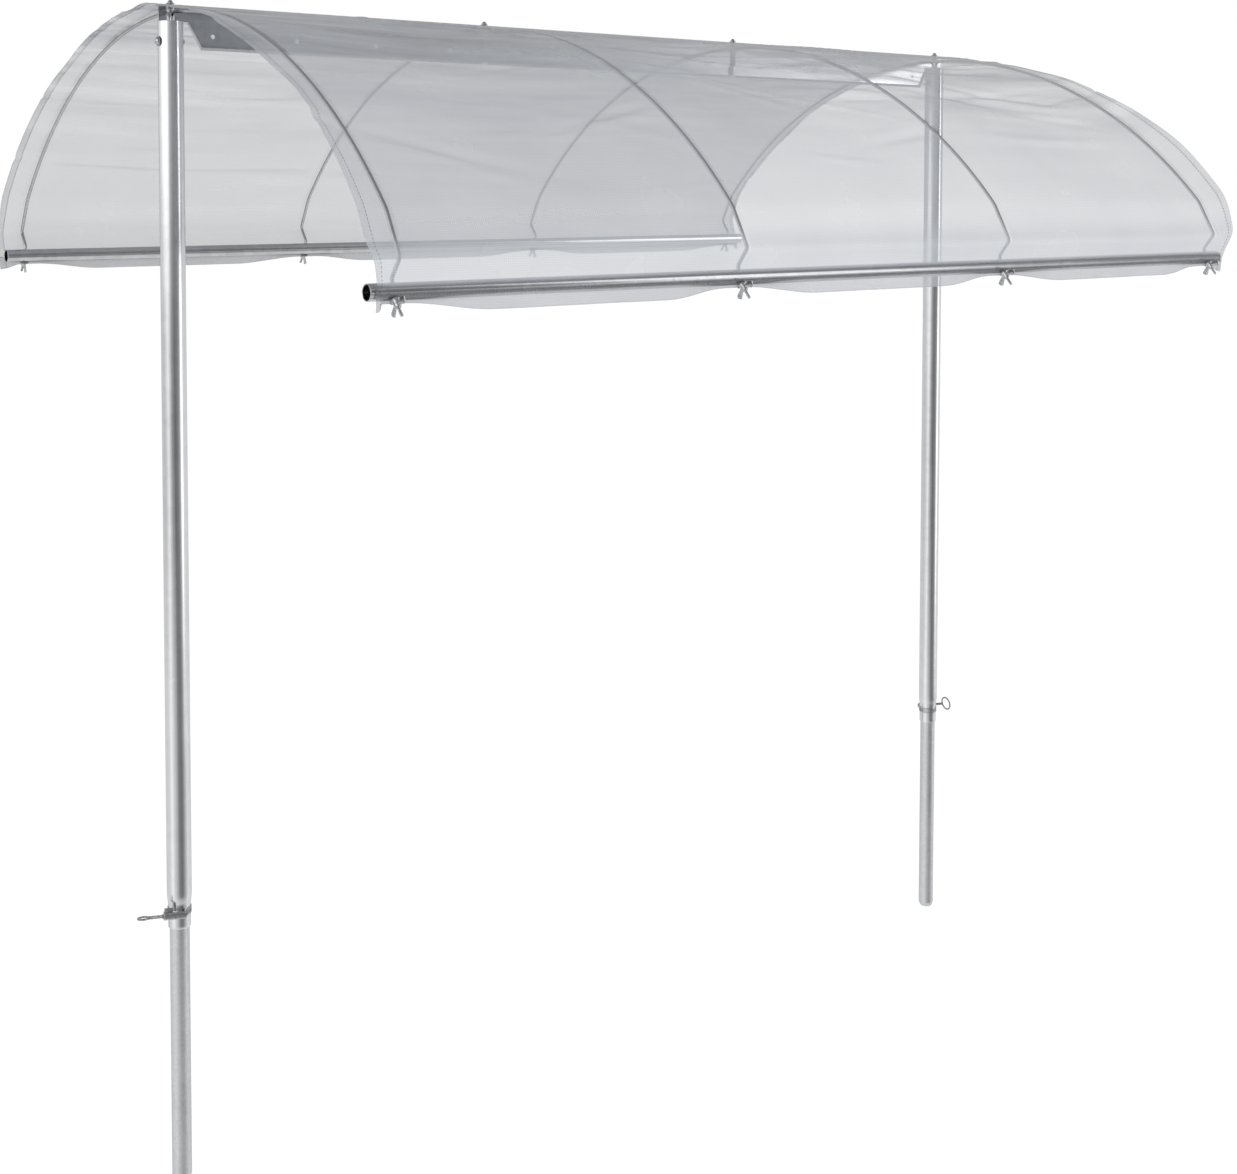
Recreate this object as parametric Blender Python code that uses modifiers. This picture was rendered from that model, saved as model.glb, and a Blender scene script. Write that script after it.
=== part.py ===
# Tomato rain shelter. Two telescoping posts carry a folded ridge. Eight half-hoops run from
# the ridge down to two eaves rails, and a film canopy lies over them.
# Metres. +X runs along the ridge, +Y to the back eaves, +Z up. The origin is on the ground,
# midway between the posts.
import math

import bmesh
import bpy
from mathutils import Matrix, Vector

MM = 0.001

# Overall dimensions
POST_SPAN = 1900 * MM
BAYS = 3
BAY = POST_SPAN / BAYS
HOOP_XS = [BAY * i - POST_SPAN / 2 for i in range(BAYS + 1)]
RAIL_Y = 733.5 * MM
RAIL_Z = 1587.5 * MM
GAP = 0.3 * MM

# Posts
LOWER_RADIUS = 16.85 * MM
LOWER_WALL = 1.8 * MM
LOWER_LENGTH = 1050 * MM
SWAGE_RADIUS = 13 * MM
SWAGE_LENGTH = 9 * MM
UPPER_RADIUS = 21.2 * MM
UPPER_WALL = 2 * MM
UPPER_TOP = 2008.5 * MM
UPPER_BOTTOM = 450 * MM
NECK_RADIUS = 19.25 * MM
NECK_TOP = 488 * MM
NECK_SHOULDER = 508 * MM
SLOT_WIDTH = 3 * MM
SLOT_TOP = 498 * MM
POST_SIDES = 24

# Clamp round each neck
CLAMP_Z = 479 * MM
BAND_HEIGHT = 12 * MM
BAND_THICKNESS = 0.8 * MM
BAND_INNER = NECK_RADIUS + GAP
BAND_OUTER = BAND_INNER + BAND_THICKNESS
HOUSING_BACK = -11 * MM
HOUSING_FRONT = 27 * MM
HOUSING_IN = 17 * MM
HOUSING_OUT = 31 * MM
HOUSING_HEIGHT = 13 * MM
CLAMP_SCREW_Y = 26 * MM
EAR_BACK = 6 * MM
EAR_THICKNESS = 1.5 * MM
EAR_HEIGHT = 7 * MM
CLAMP_SCREW_RADIUS = 3 * MM
COLLAR_RADIUS = 4.5 * MM
COLLAR_WIDTH = 1.5 * MM
CLAMP_RING_RADIUS = 9.3 * MM
CLAMP_RING_WIRE = 1.7 * MM
CLAMP_RING_STRETCH = 1.6
CLAMP_RING_CENTRE = 60 * MM
CLAMP_RING_ROLL = {"left": math.radians(104), "right": math.radians(-40)}
CLAMP_TURN = math.radians(23)

# Cross-bolt through each post head
POST_BOLT_Z = 1974.5 * MM
POST_BOLT_RADIUS = 3.9 * MM
POST_BOLT_END = 23.5 * MM
POST_HEAD_RADIUS = 8.5 * MM
POST_HEAD_RIM = 2 * MM
POST_HEAD_RISE = 4.5 * MM
POST_NUT_RADIUS = 6 * MM
POST_NUT = 1.2 * MM

# Ridge
RIDGE_TOP = 2036 * MM
FLANGE_HALF = 12 * MM
FLANGE = 2 * MM
SHEET = 1.5 * MM
WEB_BOTTOM = 1967 * MM
LIP = 5 * MM
BEVEL_TOP = 32 * MM
BEVEL_BOTTOM = 56 * MM
JOINT_GAP = 6 * MM
NOTCH_HALF = 7 * MM
TANG_HALF = 18.5 * MM
STRING_HOLE_RADIUS = 4 * MM
STRING_HOLE_Z = 1986.5 * MM
STRING_HOLE_FIRST = 76.5 * MM
STRING_HOLE_PITCH = 160 * MM
STRING_HOLES = 4

# Bracket at the two inner joints
BRACKET_HALF = 30 * MM
BRACKET_LOW = 1970 * MM
BRACKET_HIGH = 2006 * MM
HAT_HALF = 4.5 * MM
HAT_FOOT = 8.5 * MM
POCKET_HALF = 5.6 * MM
POCKET_FRONT = 9.3 * MM
POCKET_LOW = 1968 * MM
POCKET_HIGH = 1986 * MM

# Hoops
ROD_RADIUS = 3 * MM
LEG_Y = 4.6 * MM
LEG_BOTTOM = 1979 * MM
LEG_BEND = 12 * MM
ARCH_RADIUS = 960 * MM
ARCH_CENTRE_Z = 1064 * MM
ARCH_START = math.radians(1.5)
FILM_TOUCH = math.radians(8.5)
ARCH_END = math.radians(48.5)
ARCH_STEPS = 6
ARCH_BEND = 60 * MM
KNEE_Y = 753.5 * MM
KNEE_Z = 1628 * MM
FOOT_TOP = 1607 * MM
FOOT_BOTTOM = 1578.5 * MM

# Eaves rails, bosses and wing screws
RAIL_RADIUS = 12.5 * MM
RAIL_WALL = 1.5 * MM
RAIL_LENGTH = 1980 * MM
SCREW_TILT = math.radians(50)
BOSS_RADIUS = 4.7 * MM
BOSS_IN = 10.2 * MM
BOSS_OUT = 14 * MM
WING_SHANK = 2.5 * MM
WING_TIP = 8.3 * MM
WING_WASHER = (15.2 * MM, 16.4 * MM)
WING_WASHER_RADIUS = 9 * MM
WING_HUB_RADIUS = 5.5 * MM
WING_HUB_END = 27 * MM
WING_STUD_END = 42 * MM
WING_CENTRE = (12 * MM, 25.5 * MM)
WING_HALF = (9 * MM, 7.5 * MM)
WING_THICKNESS = 2 * MM

# Cap bolts on the ridge
FILM = 1.6 * MM
CAP_WASHER_LOW = RIDGE_TOP + FILM + 2 * GAP
CAP_WASHER = 1.2 * MM
CAP_WASHER_RADIUS = 7 * MM
CAP_RADIUS = 4.8 * MM
CAP_TOP = 2045 * MM
CAP_SHANK = 2.5 * MM
CAP_END = 2021 * MM
CAP_NUT_HEIGHT = 4.2 * MM
CAP_NUT_RADIUS = 4.6 * MM

# Canopy
CANOPY_END = 998 * MM
FILM_ARCH_RADIUS = ARCH_RADIUS + ROD_RADIUS + 2 * GAP
FILM_KNEE = 8 * MM
FILM_HUG_RADIUS = 13.2 * MM
FILM_TAIL = 30 * MM
HUG_LENGTH = 22 * MM
HANG_LENGTH = 160 * MM
BAY_SAG = 12 * MM

PARTS = None
CUTTERS = None


def start_scene():
    """Empty the scene and make the two collections."""
    global PARTS, CUTTERS
    for obj in list(bpy.data.objects):
        bpy.data.objects.remove(obj, do_unlink=True)
    PARTS = bpy.data.collections.new("Tomato rain shelter")
    CUTTERS = bpy.data.collections.new("Cutters")
    for collection in (PARTS, CUTTERS):
        bpy.context.scene.collection.children.link(collection)


def make_material(name, colour, roughness, metallic):
    """Make a plain Principled material."""
    material = bpy.data.materials.new(name)
    material.use_nodes = True
    shader = material.node_tree.nodes["Principled BSDF"]
    shader.inputs["Base Color"].default_value = (*colour, 1)
    shader.inputs["Roughness"].default_value = roughness
    shader.inputs["Metallic"].default_value = metallic
    return material


def add_cylinder(bm, radius, length, centre, axis, segments=24):
    """Add a closed cylinder to a bmesh, centred on a point and lying along an axis."""
    turn = Vector(axis).to_track_quat("Z", "Y").to_matrix().to_4x4()
    bmesh.ops.create_cone(bm, cap_ends=True, segments=segments, radius1=radius, radius2=radius,
                          depth=length, matrix=Matrix.Translation(centre) @ turn)


def add_box(bm, low, high):
    """Add a closed box to a bmesh between two corners."""
    low, high = Vector(low), Vector(high)
    matrix = Matrix.Translation((low + high) / 2) @ Matrix.Diagonal((*(high - low), 1))
    bmesh.ops.create_cube(bm, size=1, matrix=matrix)


def mesh_from(name, bm):
    """Turn a bmesh into a mesh with smooth round sides and sharp corners."""
    mesh = bpy.data.meshes.new(name)
    bm.to_mesh(mesh)
    bm.free()
    mesh.shade_smooth()
    mesh.set_sharp_from_angle(angle=math.radians(35))
    return mesh


def place(name, data, material, matrix=Matrix(), collection=None):
    """Put a mesh or curve in the scene as a named object."""
    obj = bpy.data.objects.new(name, data)
    (collection or PARTS).objects.link(obj)
    obj.matrix_world = matrix
    if material and not data.materials:
        data.materials.append(material)
    return obj


def hidden(name, bm, matrix=Matrix()):
    """Make a wire-drawn helper object for a Boolean."""
    obj = place(name, mesh_from(name, bm), None, matrix, CUTTERS)
    obj.hide_render = True
    obj.display_type = "WIRE"
    return obj


def combine(obj, operation, helper):
    """Add a Boolean with a helper object."""
    modifier = obj.modifiers.new(helper.name, "BOOLEAN")
    modifier.operation = operation
    modifier.object = helper
    modifier.solver = "EXACT"


def turned_mesh(name, profile, steps):
    """Turn a profile of (radius, height) points about Z. The outer side runs from top to bottom.

    A profile that starts and ends off the axis is closed into a ring."""
    bm = bmesh.new()
    points = [bm.verts.new((radius, 0, height)) for radius, height in profile]
    for first, second in zip(points, points[1:]):
        bm.edges.new((first, second))
    if profile[0][0] > 0:
        bm.edges.new((points[-1], points[0]))
    mesh = bpy.data.meshes.new(name)
    bm.to_mesh(mesh)
    bm.free()
    obj = place(name, mesh, None)
    screw = obj.modifiers.new("Turn", "SCREW")
    screw.steps = screw.render_steps = steps
    screw.use_merge_vertices = True
    screw.merge_threshold = 0.00001
    return settle(obj)


def settle(obj):
    """Replace an object by the mesh that its modifiers give, and return that mesh."""
    bpy.context.view_layer.update()
    depsgraph = bpy.context.evaluated_depsgraph_get()
    mesh = bpy.data.meshes.new_from_object(obj.evaluated_get(depsgraph))
    mesh.name = obj.name
    bpy.data.objects.remove(obj)
    mesh.shade_smooth()
    mesh.set_sharp_from_angle(angle=math.radians(35))
    return mesh


def joined_mesh(name, mesh, helpers):
    """Union a mesh with helper shapes and return the joined mesh."""
    obj = place(name, mesh, None)
    for helper in helpers:
        combine(obj, "UNION", helper)
    result = settle(obj)
    for helper in helpers:
        bpy.data.objects.remove(helper)
    return result


def tube_profile(outer, inner, low, high):
    """Closed profile of a plain tube."""
    return [(outer, high), (outer, low), (inner, low), (inner, high)]


def dome_profile(radius, low, rise):
    """Profile (radius, height) of a dome, from its top down to its rim."""
    return [(radius * math.sin(a), low + rise * math.cos(a))
            for a in (math.radians(d) for d in (0, 25, 50, 72, 90))]


def rounded_path(corners, steps=3):
    """Points of a polyline in the YZ plane whose corners (y, z, radius) are rounded with arcs."""
    points = [Vector(corners[0][:2])]
    for before, corner, after in zip(corners, corners[1:], corners[2:]):
        here = Vector(corner[:2])
        back = (Vector(before[:2]) - here).normalized()
        ahead = (Vector(after[:2]) - here).normalized()
        if corner[2] == 0:
            points.append(here)
            continue
        half = back.angle(ahead) / 2
        centre = here + (back + ahead).normalized() * corner[2] / math.sin(half)
        start = here + back * corner[2] / math.tan(half) - centre
        turn = start.angle_signed(here + ahead * corner[2] / math.tan(half) - centre)
        for i in range(steps + 1):
            points.append(centre + Matrix.Rotation(-turn * i / steps, 2) @ start)
    points.append(Vector(corners[-1][:2]))
    return points


def arch_angles():
    """Angles from the crown at which hoop and film are drawn, in equal steps."""
    return [FILM_TOUCH + (ARCH_END - FILM_TOUCH) * i / ARCH_STEPS for i in range(ARCH_STEPS + 1)]


def arch_point(radius, angle):
    """A point of a circle about the arch's centre, at an angle from the crown."""
    return radius * math.sin(angle), ARCH_CENTRE_Z + radius * math.cos(angle)


def make_posts(metal):
    """Lower and upper tube of each post."""
    inner = LOWER_RADIUS - LOWER_WALL
    swage_inner = SWAGE_RADIUS - LOWER_WALL
    lower = turned_mesh("lower_post", [
        (LOWER_RADIUS, LOWER_LENGTH), (LOWER_RADIUS, SWAGE_LENGTH), (SWAGE_RADIUS, 0),
        (swage_inner, 0), (inner, SWAGE_LENGTH), (inner, LOWER_LENGTH)], POST_SIDES)
    bore = UPPER_RADIUS - UPPER_WALL
    neck_bore = NECK_RADIUS - UPPER_WALL
    upper = turned_mesh("upper_post", [
        (UPPER_RADIUS, UPPER_TOP), (UPPER_RADIUS, NECK_SHOULDER), (NECK_RADIUS, NECK_TOP),
        (NECK_RADIUS, UPPER_BOTTOM), (neck_bore, UPPER_BOTTOM), (neck_bore, NECK_TOP),
        (bore, NECK_SHOULDER), (bore, UPPER_TOP)], POST_SIDES)
    for side, x in (("left", HOOP_XS[0]), ("right", HOOP_XS[-1])):
        spot = Matrix.Translation((x, 0, 0))
        place(f"lower_post_{side}", lower, metal, spot)
        post = place(f"upper_post_{side}", upper, metal, spot)
        reach = 2 * UPPER_RADIUS
        half = SLOT_WIDTH / 2
        bm = bmesh.new()
        add_box(bm, (-reach, -half, UPPER_BOTTOM - SLOT_WIDTH), (reach, half, SLOT_TOP))
        combine(post, "DIFFERENCE", hidden(f"cut_neck_{side}", bm, spot))
        bm = bmesh.new()
        add_cylinder(bm, POST_BOLT_RADIUS + GAP, 2 * reach, (0, 0, POST_BOLT_Z), (1, 0, 0))
        combine(post, "DIFFERENCE", hidden(f"cut_post_bolt_{side}", bm, spot))


def make_clamps(metal, dark):
    """Band, screw housing and ring screw of each post clamp.

    In a clamp's own frame the screw runs along +X, and the housing is on the +Y side."""
    half = BAND_HEIGHT / 2
    band = turned_mesh("clamp_band", tube_profile(BAND_OUTER, BAND_INNER, -half, half), POST_SIDES)
    half = HOUSING_HEIGHT / 2
    bm = bmesh.new()
    add_box(bm, (HOUSING_BACK, HOUSING_IN, -half), (HOUSING_FRONT, HOUSING_OUT, half))
    body = mesh_from("clamp_housing", bm)
    bm = bmesh.new()
    add_box(bm, (EAR_BACK, CLAMP_SCREW_Y - EAR_THICKNESS, half - EAR_THICKNESS),
            (HOUSING_FRONT - EAR_THICKNESS, CLAMP_SCREW_Y, half + EAR_HEIGHT))
    housing = joined_mesh("clamp_housing", body, [hidden("join_ear", bm)])

    # The screw is turned with a collar on either side of the housing.
    near = HOUSING_FRONT + GAP
    far = HOUSING_BACK - GAP
    ring_start = CLAMP_RING_CENTRE - CLAMP_RING_RADIUS
    shaft = turned_mesh("clamp_screw", [
        (0, ring_start), (CLAMP_SCREW_RADIUS, ring_start),
        (CLAMP_SCREW_RADIUS, near + COLLAR_WIDTH), (COLLAR_RADIUS, near + COLLAR_WIDTH),
        (COLLAR_RADIUS, near), (CLAMP_SCREW_RADIUS, near),
        (CLAMP_SCREW_RADIUS, far), (COLLAR_RADIUS, far),
        (COLLAR_RADIUS, far - COLLAR_WIDTH), (0, far - COLLAR_WIDTH)], 16)
    # The ring's plane holds the screw's axis.
    bpy.ops.mesh.primitive_torus_add(major_radius=CLAMP_RING_RADIUS, minor_radius=CLAMP_RING_WIRE,
                                     major_segments=20, minor_segments=6,
                                     location=(0, 0, CLAMP_RING_CENTRE),
                                     rotation=(math.pi / 2, 0, 0))
    ring = bpy.context.object
    ring.scale.x = CLAMP_RING_STRETCH
    screw = joined_mesh("clamp_screw", shaft, [ring])

    lie = Matrix.Rotation(math.pi / 2, 4, "Y")
    for side, x, turn in (("left", HOOP_XS[0], math.pi - CLAMP_TURN),
                          ("right", HOOP_XS[-1], -CLAMP_TURN)):
        spot = Matrix.Translation((x, 0, CLAMP_Z))
        frame = spot @ Matrix.Rotation(turn, 4, "Z")
        screw_line = frame @ Matrix.Translation((0, CLAMP_SCREW_Y, 0))
        place(f"clamp_band_{side}", band, metal, spot)
        box = place(f"clamp_housing_{side}", housing, metal, frame)
        bm = bmesh.new()
        add_cylinder(bm, BAND_OUTER + GAP, HOUSING_HEIGHT * 2, (0, 0, 0), (0, 0, 1), POST_SIDES)
        combine(box, "DIFFERENCE", hidden(f"cut_saddle_{side}", bm, spot))
        bm = bmesh.new()
        add_cylinder(bm, CLAMP_SCREW_RADIUS + GAP, 4 * HOUSING_FRONT, (0, 0, 0), (1, 0, 0))
        combine(box, "DIFFERENCE", hidden(f"cut_worm_bore_{side}", bm, screw_line))
        place(f"clamp_screw_{side}", screw, dark,
              screw_line @ lie @ Matrix.Rotation(CLAMP_RING_ROLL[side], 4, "Z"))


def make_post_bolts(dark):
    """Cup-headed cross-bolt and its thin round nut, at the top of each post."""
    seat = UPPER_RADIUS + GAP
    bolt = turned_mesh("post_bolt", dome_profile(
        POST_HEAD_RADIUS, seat + POST_HEAD_RIM, POST_HEAD_RISE) + [
        (POST_HEAD_RADIUS, seat), (POST_BOLT_RADIUS, seat),
        (POST_BOLT_RADIUS, -POST_BOLT_END), (0, -POST_BOLT_END)], 20)
    nut = turned_mesh("post_nut", tube_profile(POST_NUT_RADIUS, POST_BOLT_RADIUS + GAP,
                                               0, POST_NUT), 20)
    for side, x, out in (("left", HOOP_XS[0], -1), ("right", HOOP_XS[-1], 1)):
        lie = Matrix.Translation((x, 0, POST_BOLT_Z)) @ Matrix.Rotation(out * math.pi / 2, 4, "Y")
        place(f"post_bolt_{side}", bolt, dark, lie)
        place(f"post_nut_{side}", nut, dark, lie @ Matrix.Translation((0, 0, -seat - POST_NUT)))


def hex_nut(name, radius, bore, height):
    """A hexagonal nut standing on Z = 0."""
    bm = bmesh.new()
    add_cylinder(bm, radius, height, (0, 0, height / 2), (0, 0, 1), 6)
    obj = place(name, mesh_from(name, bm), None)
    bm = bmesh.new()
    add_cylinder(bm, bore, 3 * height, (0, 0, height / 2), (0, 0, 1), 16)
    cutter = hidden("cut_thread", bm)
    combine(obj, "DIFFERENCE", cutter)
    mesh = settle(obj)
    bpy.data.objects.remove(cutter)
    return mesh


def sheet_with_lip(name, outline, fold):
    """Web sheet in the XZ plane, with a lip folded 45 degrees forward along part of its edge.

    outline and fold are (x, z) points. fold runs along the outline, the web on its left."""
    bm = bmesh.new()
    verts = {point: bm.verts.new((point[0], 0, point[1])) for point in outline}
    bm.faces.new([verts[point] for point in outline])
    points = [Vector(point) for point in fold]
    normals = []
    for first, second in zip(points, points[1:]):
        along = (second - first).normalized()
        normals.append(Vector((along.y, -along.x)))
    normals = [normals[0]] + normals + [normals[-1]]
    edge = []
    for point, before, after in zip(points, normals, normals[1:]):
        out = point + LIP * (before + after) / (1 + before.dot(after))
        edge.append(bm.verts.new((out.x, -LIP, out.y)))
    for i in range(len(fold) - 1):
        bm.faces.new((verts[fold[i]], edge[i], edge[i + 1], verts[fold[i + 1]]))
    bmesh.ops.recalc_face_normals(bm, faces=bm.faces)
    obj = place(name, mesh_from(name, bm), None)
    solid = obj.modifiers.new("Sheet", "SOLIDIFY")
    solid.thickness = SHEET
    solid.offset = 0
    solid.use_even_offset = True
    return settle(obj)


def make_ridge(metal):
    """Three ridge sections: a web with string holes, a lip below and a flange on top."""
    web_top = RIDGE_TOP - FLANGE / 2
    rest = UPPER_TOP + GAP
    tang = POST_BOLT_Z + POST_BOLT_RADIUS + GAP
    post = POST_SPAN / 2
    inner = post - BAY + JOINT_GAP
    # The left section is drawn from the joint, round its top, to the post and the bevel.
    left = [(-inner, WEB_BOTTOM), (-inner, web_top), (-post - UPPER_RADIUS, web_top),
            (-post - UPPER_RADIUS, rest), (-post - TANG_HALF, rest), (-post - TANG_HALF, tang),
            (-post + TANG_HALF, tang), (-post + TANG_HALF, rest), (-post + BEVEL_TOP, rest),
            (-post + BEVEL_BOTTOM, WEB_BOTTOM)]
    right = [(-x, z) for x, z in reversed(left)]
    half = BAY / 2 - JOINT_GAP
    middle = [(-half, WEB_BOTTOM), (half, WEB_BOTTOM), (half, web_top), (-half, web_top)]
    seam = BAY / 2 - GAP / 2
    sections = (("left", left, left[-2:] + left[:1], -post - UPPER_RADIUS, -seam),
                ("middle", middle, middle[:2], -seam, seam),
                ("right", right, right[-1:] + right[:2], seam, post + UPPER_RADIUS))
    for bay, (side, outline, fold, start, end) in enumerate(sections):
        sheet = sheet_with_lip(f"ridge_section_{side}", outline, fold)
        bm = bmesh.new()
        add_box(bm, (start, -FLANGE_HALF, RIDGE_TOP - FLANGE), (end, FLANGE_HALF, RIDGE_TOP))
        joined = joined_mesh(f"ridge_section_{side}", sheet, [hidden("join_flange", bm)])
        ridge = place(f"ridge_section_{side}", joined, metal)
        bm = bmesh.new()
        for i in range(STRING_HOLES):
            x = HOOP_XS[bay] + STRING_HOLE_FIRST + STRING_HOLE_PITCH * i
            add_cylinder(bm, STRING_HOLE_RADIUS, 4 * LIP, (x, 0, STRING_HOLE_Z), (0, 1, 0), 16)
        combine(ridge, "DIFFERENCE", hidden(f"cut_string_holes_{side}", bm))
        bm = bmesh.new()
        for x in HOOP_XS[bay:bay + 2]:
            add_cylinder(bm, CAP_SHANK + GAP, 4 * FLANGE, (x, 0, RIDGE_TOP - FLANGE), (0, 0, 1), 16)
        combine(ridge, "DIFFERENCE", hidden(f"cut_cap_holes_{side}", bm))
        if side == "middle":
            continue
        # The web is notched over the post for the hoop legs and the cap nut.
        x = HOOP_XS[0] if side == "left" else HOOP_XS[-1]
        bm = bmesh.new()
        add_box(bm, (x - NOTCH_HALF, -SHEET, tang - SHEET),
                (x + NOTCH_HALF, SHEET, RIDGE_TOP - FLANGE))
        combine(ridge, "DIFFERENCE", hidden(f"cut_notch_{side}", bm))


def make_ridge_joints(metal):
    """Bracket behind each inner joint: a hat-shaped plate with a pocket for the hoop legs."""
    foot_y = SHEET + GAP
    hat_y = LEG_Y + ROD_RADIUS + GAP + SHEET / 2
    path = [(-BRACKET_HALF, foot_y), (-HAT_FOOT, foot_y), (-HAT_HALF, hat_y),
            (HAT_HALF, hat_y), (HAT_FOOT, foot_y), (BRACKET_HALF, foot_y)]
    bm = bmesh.new()
    rows = [[bm.verts.new((x, y, z)) for x, y in path] for z in (BRACKET_LOW, BRACKET_HIGH)]
    for i in range(len(path) - 1):
        bm.faces.new((rows[0][i], rows[0][i + 1], rows[1][i + 1], rows[1][i]))
    obj = place("ridge_joint", mesh_from("ridge_joint", bm), None)
    solid = obj.modifiers.new("Sheet", "SOLIDIFY")
    solid.thickness = SHEET
    solid.offset = 0
    solid.use_even_offset = True
    plate = settle(obj)
    bm = bmesh.new()
    add_box(bm, (-POCKET_HALF, -POCKET_FRONT, POCKET_LOW), (POCKET_HALF, hat_y, POCKET_HIGH))
    joined = joined_mesh("ridge_joint", plate, [hidden("join_pocket", bm)])
    for side, x in (("left", HOOP_XS[1]), ("right", HOOP_XS[2])):
        spot = Matrix.Translation((x, 0, 0))
        bracket = place(f"ridge_joint_{side}", joined, metal, spot)
        bm = bmesh.new()
        length = POCKET_HIGH - LEG_BOTTOM + GAP
        for y in (-LEG_Y, LEG_Y):
            add_cylinder(bm, ROD_RADIUS + GAP, 2 * length, (0, y, POCKET_HIGH), (0, 0, 1), 16)
        combine(bracket, "DIFFERENCE", hidden(f"cut_leg_holes_{side}", bm, spot))


def make_cap_bolts(dark):
    """Dome-headed bolt and nut over each hoop. The film is held under the head's washer."""
    dome_low = CAP_WASHER_LOW + CAP_WASHER
    bolt = turned_mesh("cap_bolt", dome_profile(CAP_RADIUS, dome_low, CAP_TOP - dome_low) + [
        (CAP_WASHER_RADIUS, dome_low), (CAP_WASHER_RADIUS, CAP_WASHER_LOW),
        (CAP_SHANK, CAP_WASHER_LOW), (CAP_SHANK, CAP_END), (0, CAP_END)], 16)
    nut = hex_nut("cap_nut", CAP_NUT_RADIUS, CAP_SHANK + GAP, CAP_NUT_HEIGHT)
    nut_z = RIDGE_TOP - FLANGE - GAP - CAP_NUT_HEIGHT
    for i, x in enumerate(HOOP_XS, 1):
        place(f"cap_bolt_{i}", bolt, dark, Matrix.Translation((x, 0, 0)))
        place(f"cap_nut_{i}", nut, dark, Matrix.Translation((x, 0, nut_z)))


def hoop_path():
    """Points (y, z) of a back half-hoop, from its leg at the ridge to its foot in the rail."""
    crown = arch_point(ARCH_RADIUS, ARCH_START)
    corners = [(LEG_Y, LEG_BOTTOM, 0), (LEG_Y, crown[1], LEG_BEND), (*crown, 0)]
    corners += [(*arch_point(ARCH_RADIUS, angle), 0) for angle in arch_angles()[:-1]]
    corners += [(*arch_point(ARCH_RADIUS, ARCH_END), ARCH_BEND),
                (KNEE_Y, KNEE_Z, 3 * ROD_RADIUS), (RAIL_Y, FOOT_TOP, 3 * ROD_RADIUS),
                (RAIL_Y, FOOT_BOTTOM, 0)]
    return rounded_path(corners)


def make_hoops(metal):
    """Eight half-hoops of round rod."""
    for side, sign in (("front", -1), ("back", 1)):
        curve = bpy.data.curves.new(f"hoop_{side}", "CURVE")
        curve.dimensions = "3D"
        curve.bevel_depth = ROD_RADIUS
        curve.bevel_resolution = 2
        curve.use_fill_caps = True
        points = hoop_path()
        spline = curve.splines.new("POLY")
        spline.points.add(len(points) - 1)
        for target, (y, z) in zip(spline.points, points):
            target.co = (0, sign * y, z, 1)
        for i, x in enumerate(HOOP_XS, 1):
            place(f"hoop_{side}_{i}", curve, metal, Matrix.Translation((x, 0, 0)))


def screw_frame(x, sign):
    """Frame of a wing screw: its origin on the rail's centre line, +Z out along the screw."""
    lean = Matrix.Rotation(sign * -(math.pi / 2 + SCREW_TILT), 4, "X")
    return Matrix.Translation((x, sign * RAIL_Y, RAIL_Z)) @ lean


def make_rails(metal, dark):
    """Two eaves tubes, and a threaded boss where each hoop enters."""
    inner = RAIL_RADIUS - RAIL_WALL
    tube = turned_mesh("rail", tube_profile(RAIL_RADIUS, inner, -RAIL_LENGTH / 2,
                                            RAIL_LENGTH / 2), 24)
    boss = turned_mesh("rail_boss", tube_profile(BOSS_RADIUS, WING_SHANK + GAP,
                                                 BOSS_IN, BOSS_OUT), 16)
    lie = Matrix.Rotation(math.pi / 2, 4, "Y")
    for side, sign in (("front", -1), ("back", 1)):
        spot = Matrix.Translation((0, sign * RAIL_Y, RAIL_Z))
        rail = place(f"rail_{side}", tube, metal, spot @ lie)
        hoop_holes = bmesh.new()
        boss_holes = bmesh.new()
        for i, x in enumerate(HOOP_XS, 1):
            frame = screw_frame(x, sign)
            place(f"rail_boss_{side}_{i}", boss, dark, frame)
            centre = (x, sign * RAIL_Y, RAIL_Z + RAIL_RADIUS)
            add_cylinder(hoop_holes, ROD_RADIUS + 2 * GAP, RAIL_RADIUS, centre, (0, 0, 1), 16)
            centre = frame @ Vector((0, 0, RAIL_RADIUS))
            axis = frame.to_3x3() @ Vector((0, 0, 1))
            add_cylinder(boss_holes, BOSS_RADIUS + GAP, RAIL_RADIUS / 2, centre, axis, 16)
        combine(rail, "DIFFERENCE", hidden(f"cut_hoop_holes_{side}", hoop_holes))
        combine(rail, "DIFFERENCE", hidden(f"cut_boss_holes_{side}", boss_holes))


def make_wing_screws(dark):
    """Wing screw at each hoop foot. Its tip bears on the hoop inside the rail."""
    low, high = WING_WASHER
    stem = turned_mesh("wing_screw", [
        (0, WING_STUD_END), (WING_SHANK, WING_STUD_END), (WING_SHANK, WING_HUB_END),
        (WING_HUB_RADIUS, WING_HUB_END), (WING_HUB_RADIUS, high),
        (WING_WASHER_RADIUS, high), (WING_WASHER_RADIUS, low), (WING_SHANK, low),
        (WING_SHANK, WING_TIP), (0, WING_TIP)], 16)
    wings = []
    for sign in (-1, 1):
        bm = bmesh.new()
        shape = (Matrix.Translation((0, sign * WING_CENTRE[0], WING_CENTRE[1]))
                 @ Matrix.Rotation(math.pi / 2, 4, "Y")
                 @ Matrix.Diagonal((WING_HALF[1], WING_HALF[0], WING_THICKNESS, 1)))
        bmesh.ops.create_cone(bm, cap_ends=True, segments=16, radius1=1, radius2=1, depth=1,
                              matrix=shape)
        wings.append(hidden("join_wing", bm))
    screw = joined_mesh("wing_screw", stem, wings)
    for side, sign in (("front", -1), ("back", 1)):
        for i, x in enumerate(HOOP_XS, 1):
            place(f"wing_screw_{side}_{i}", screw, dark, screw_frame(x, sign))


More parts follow.
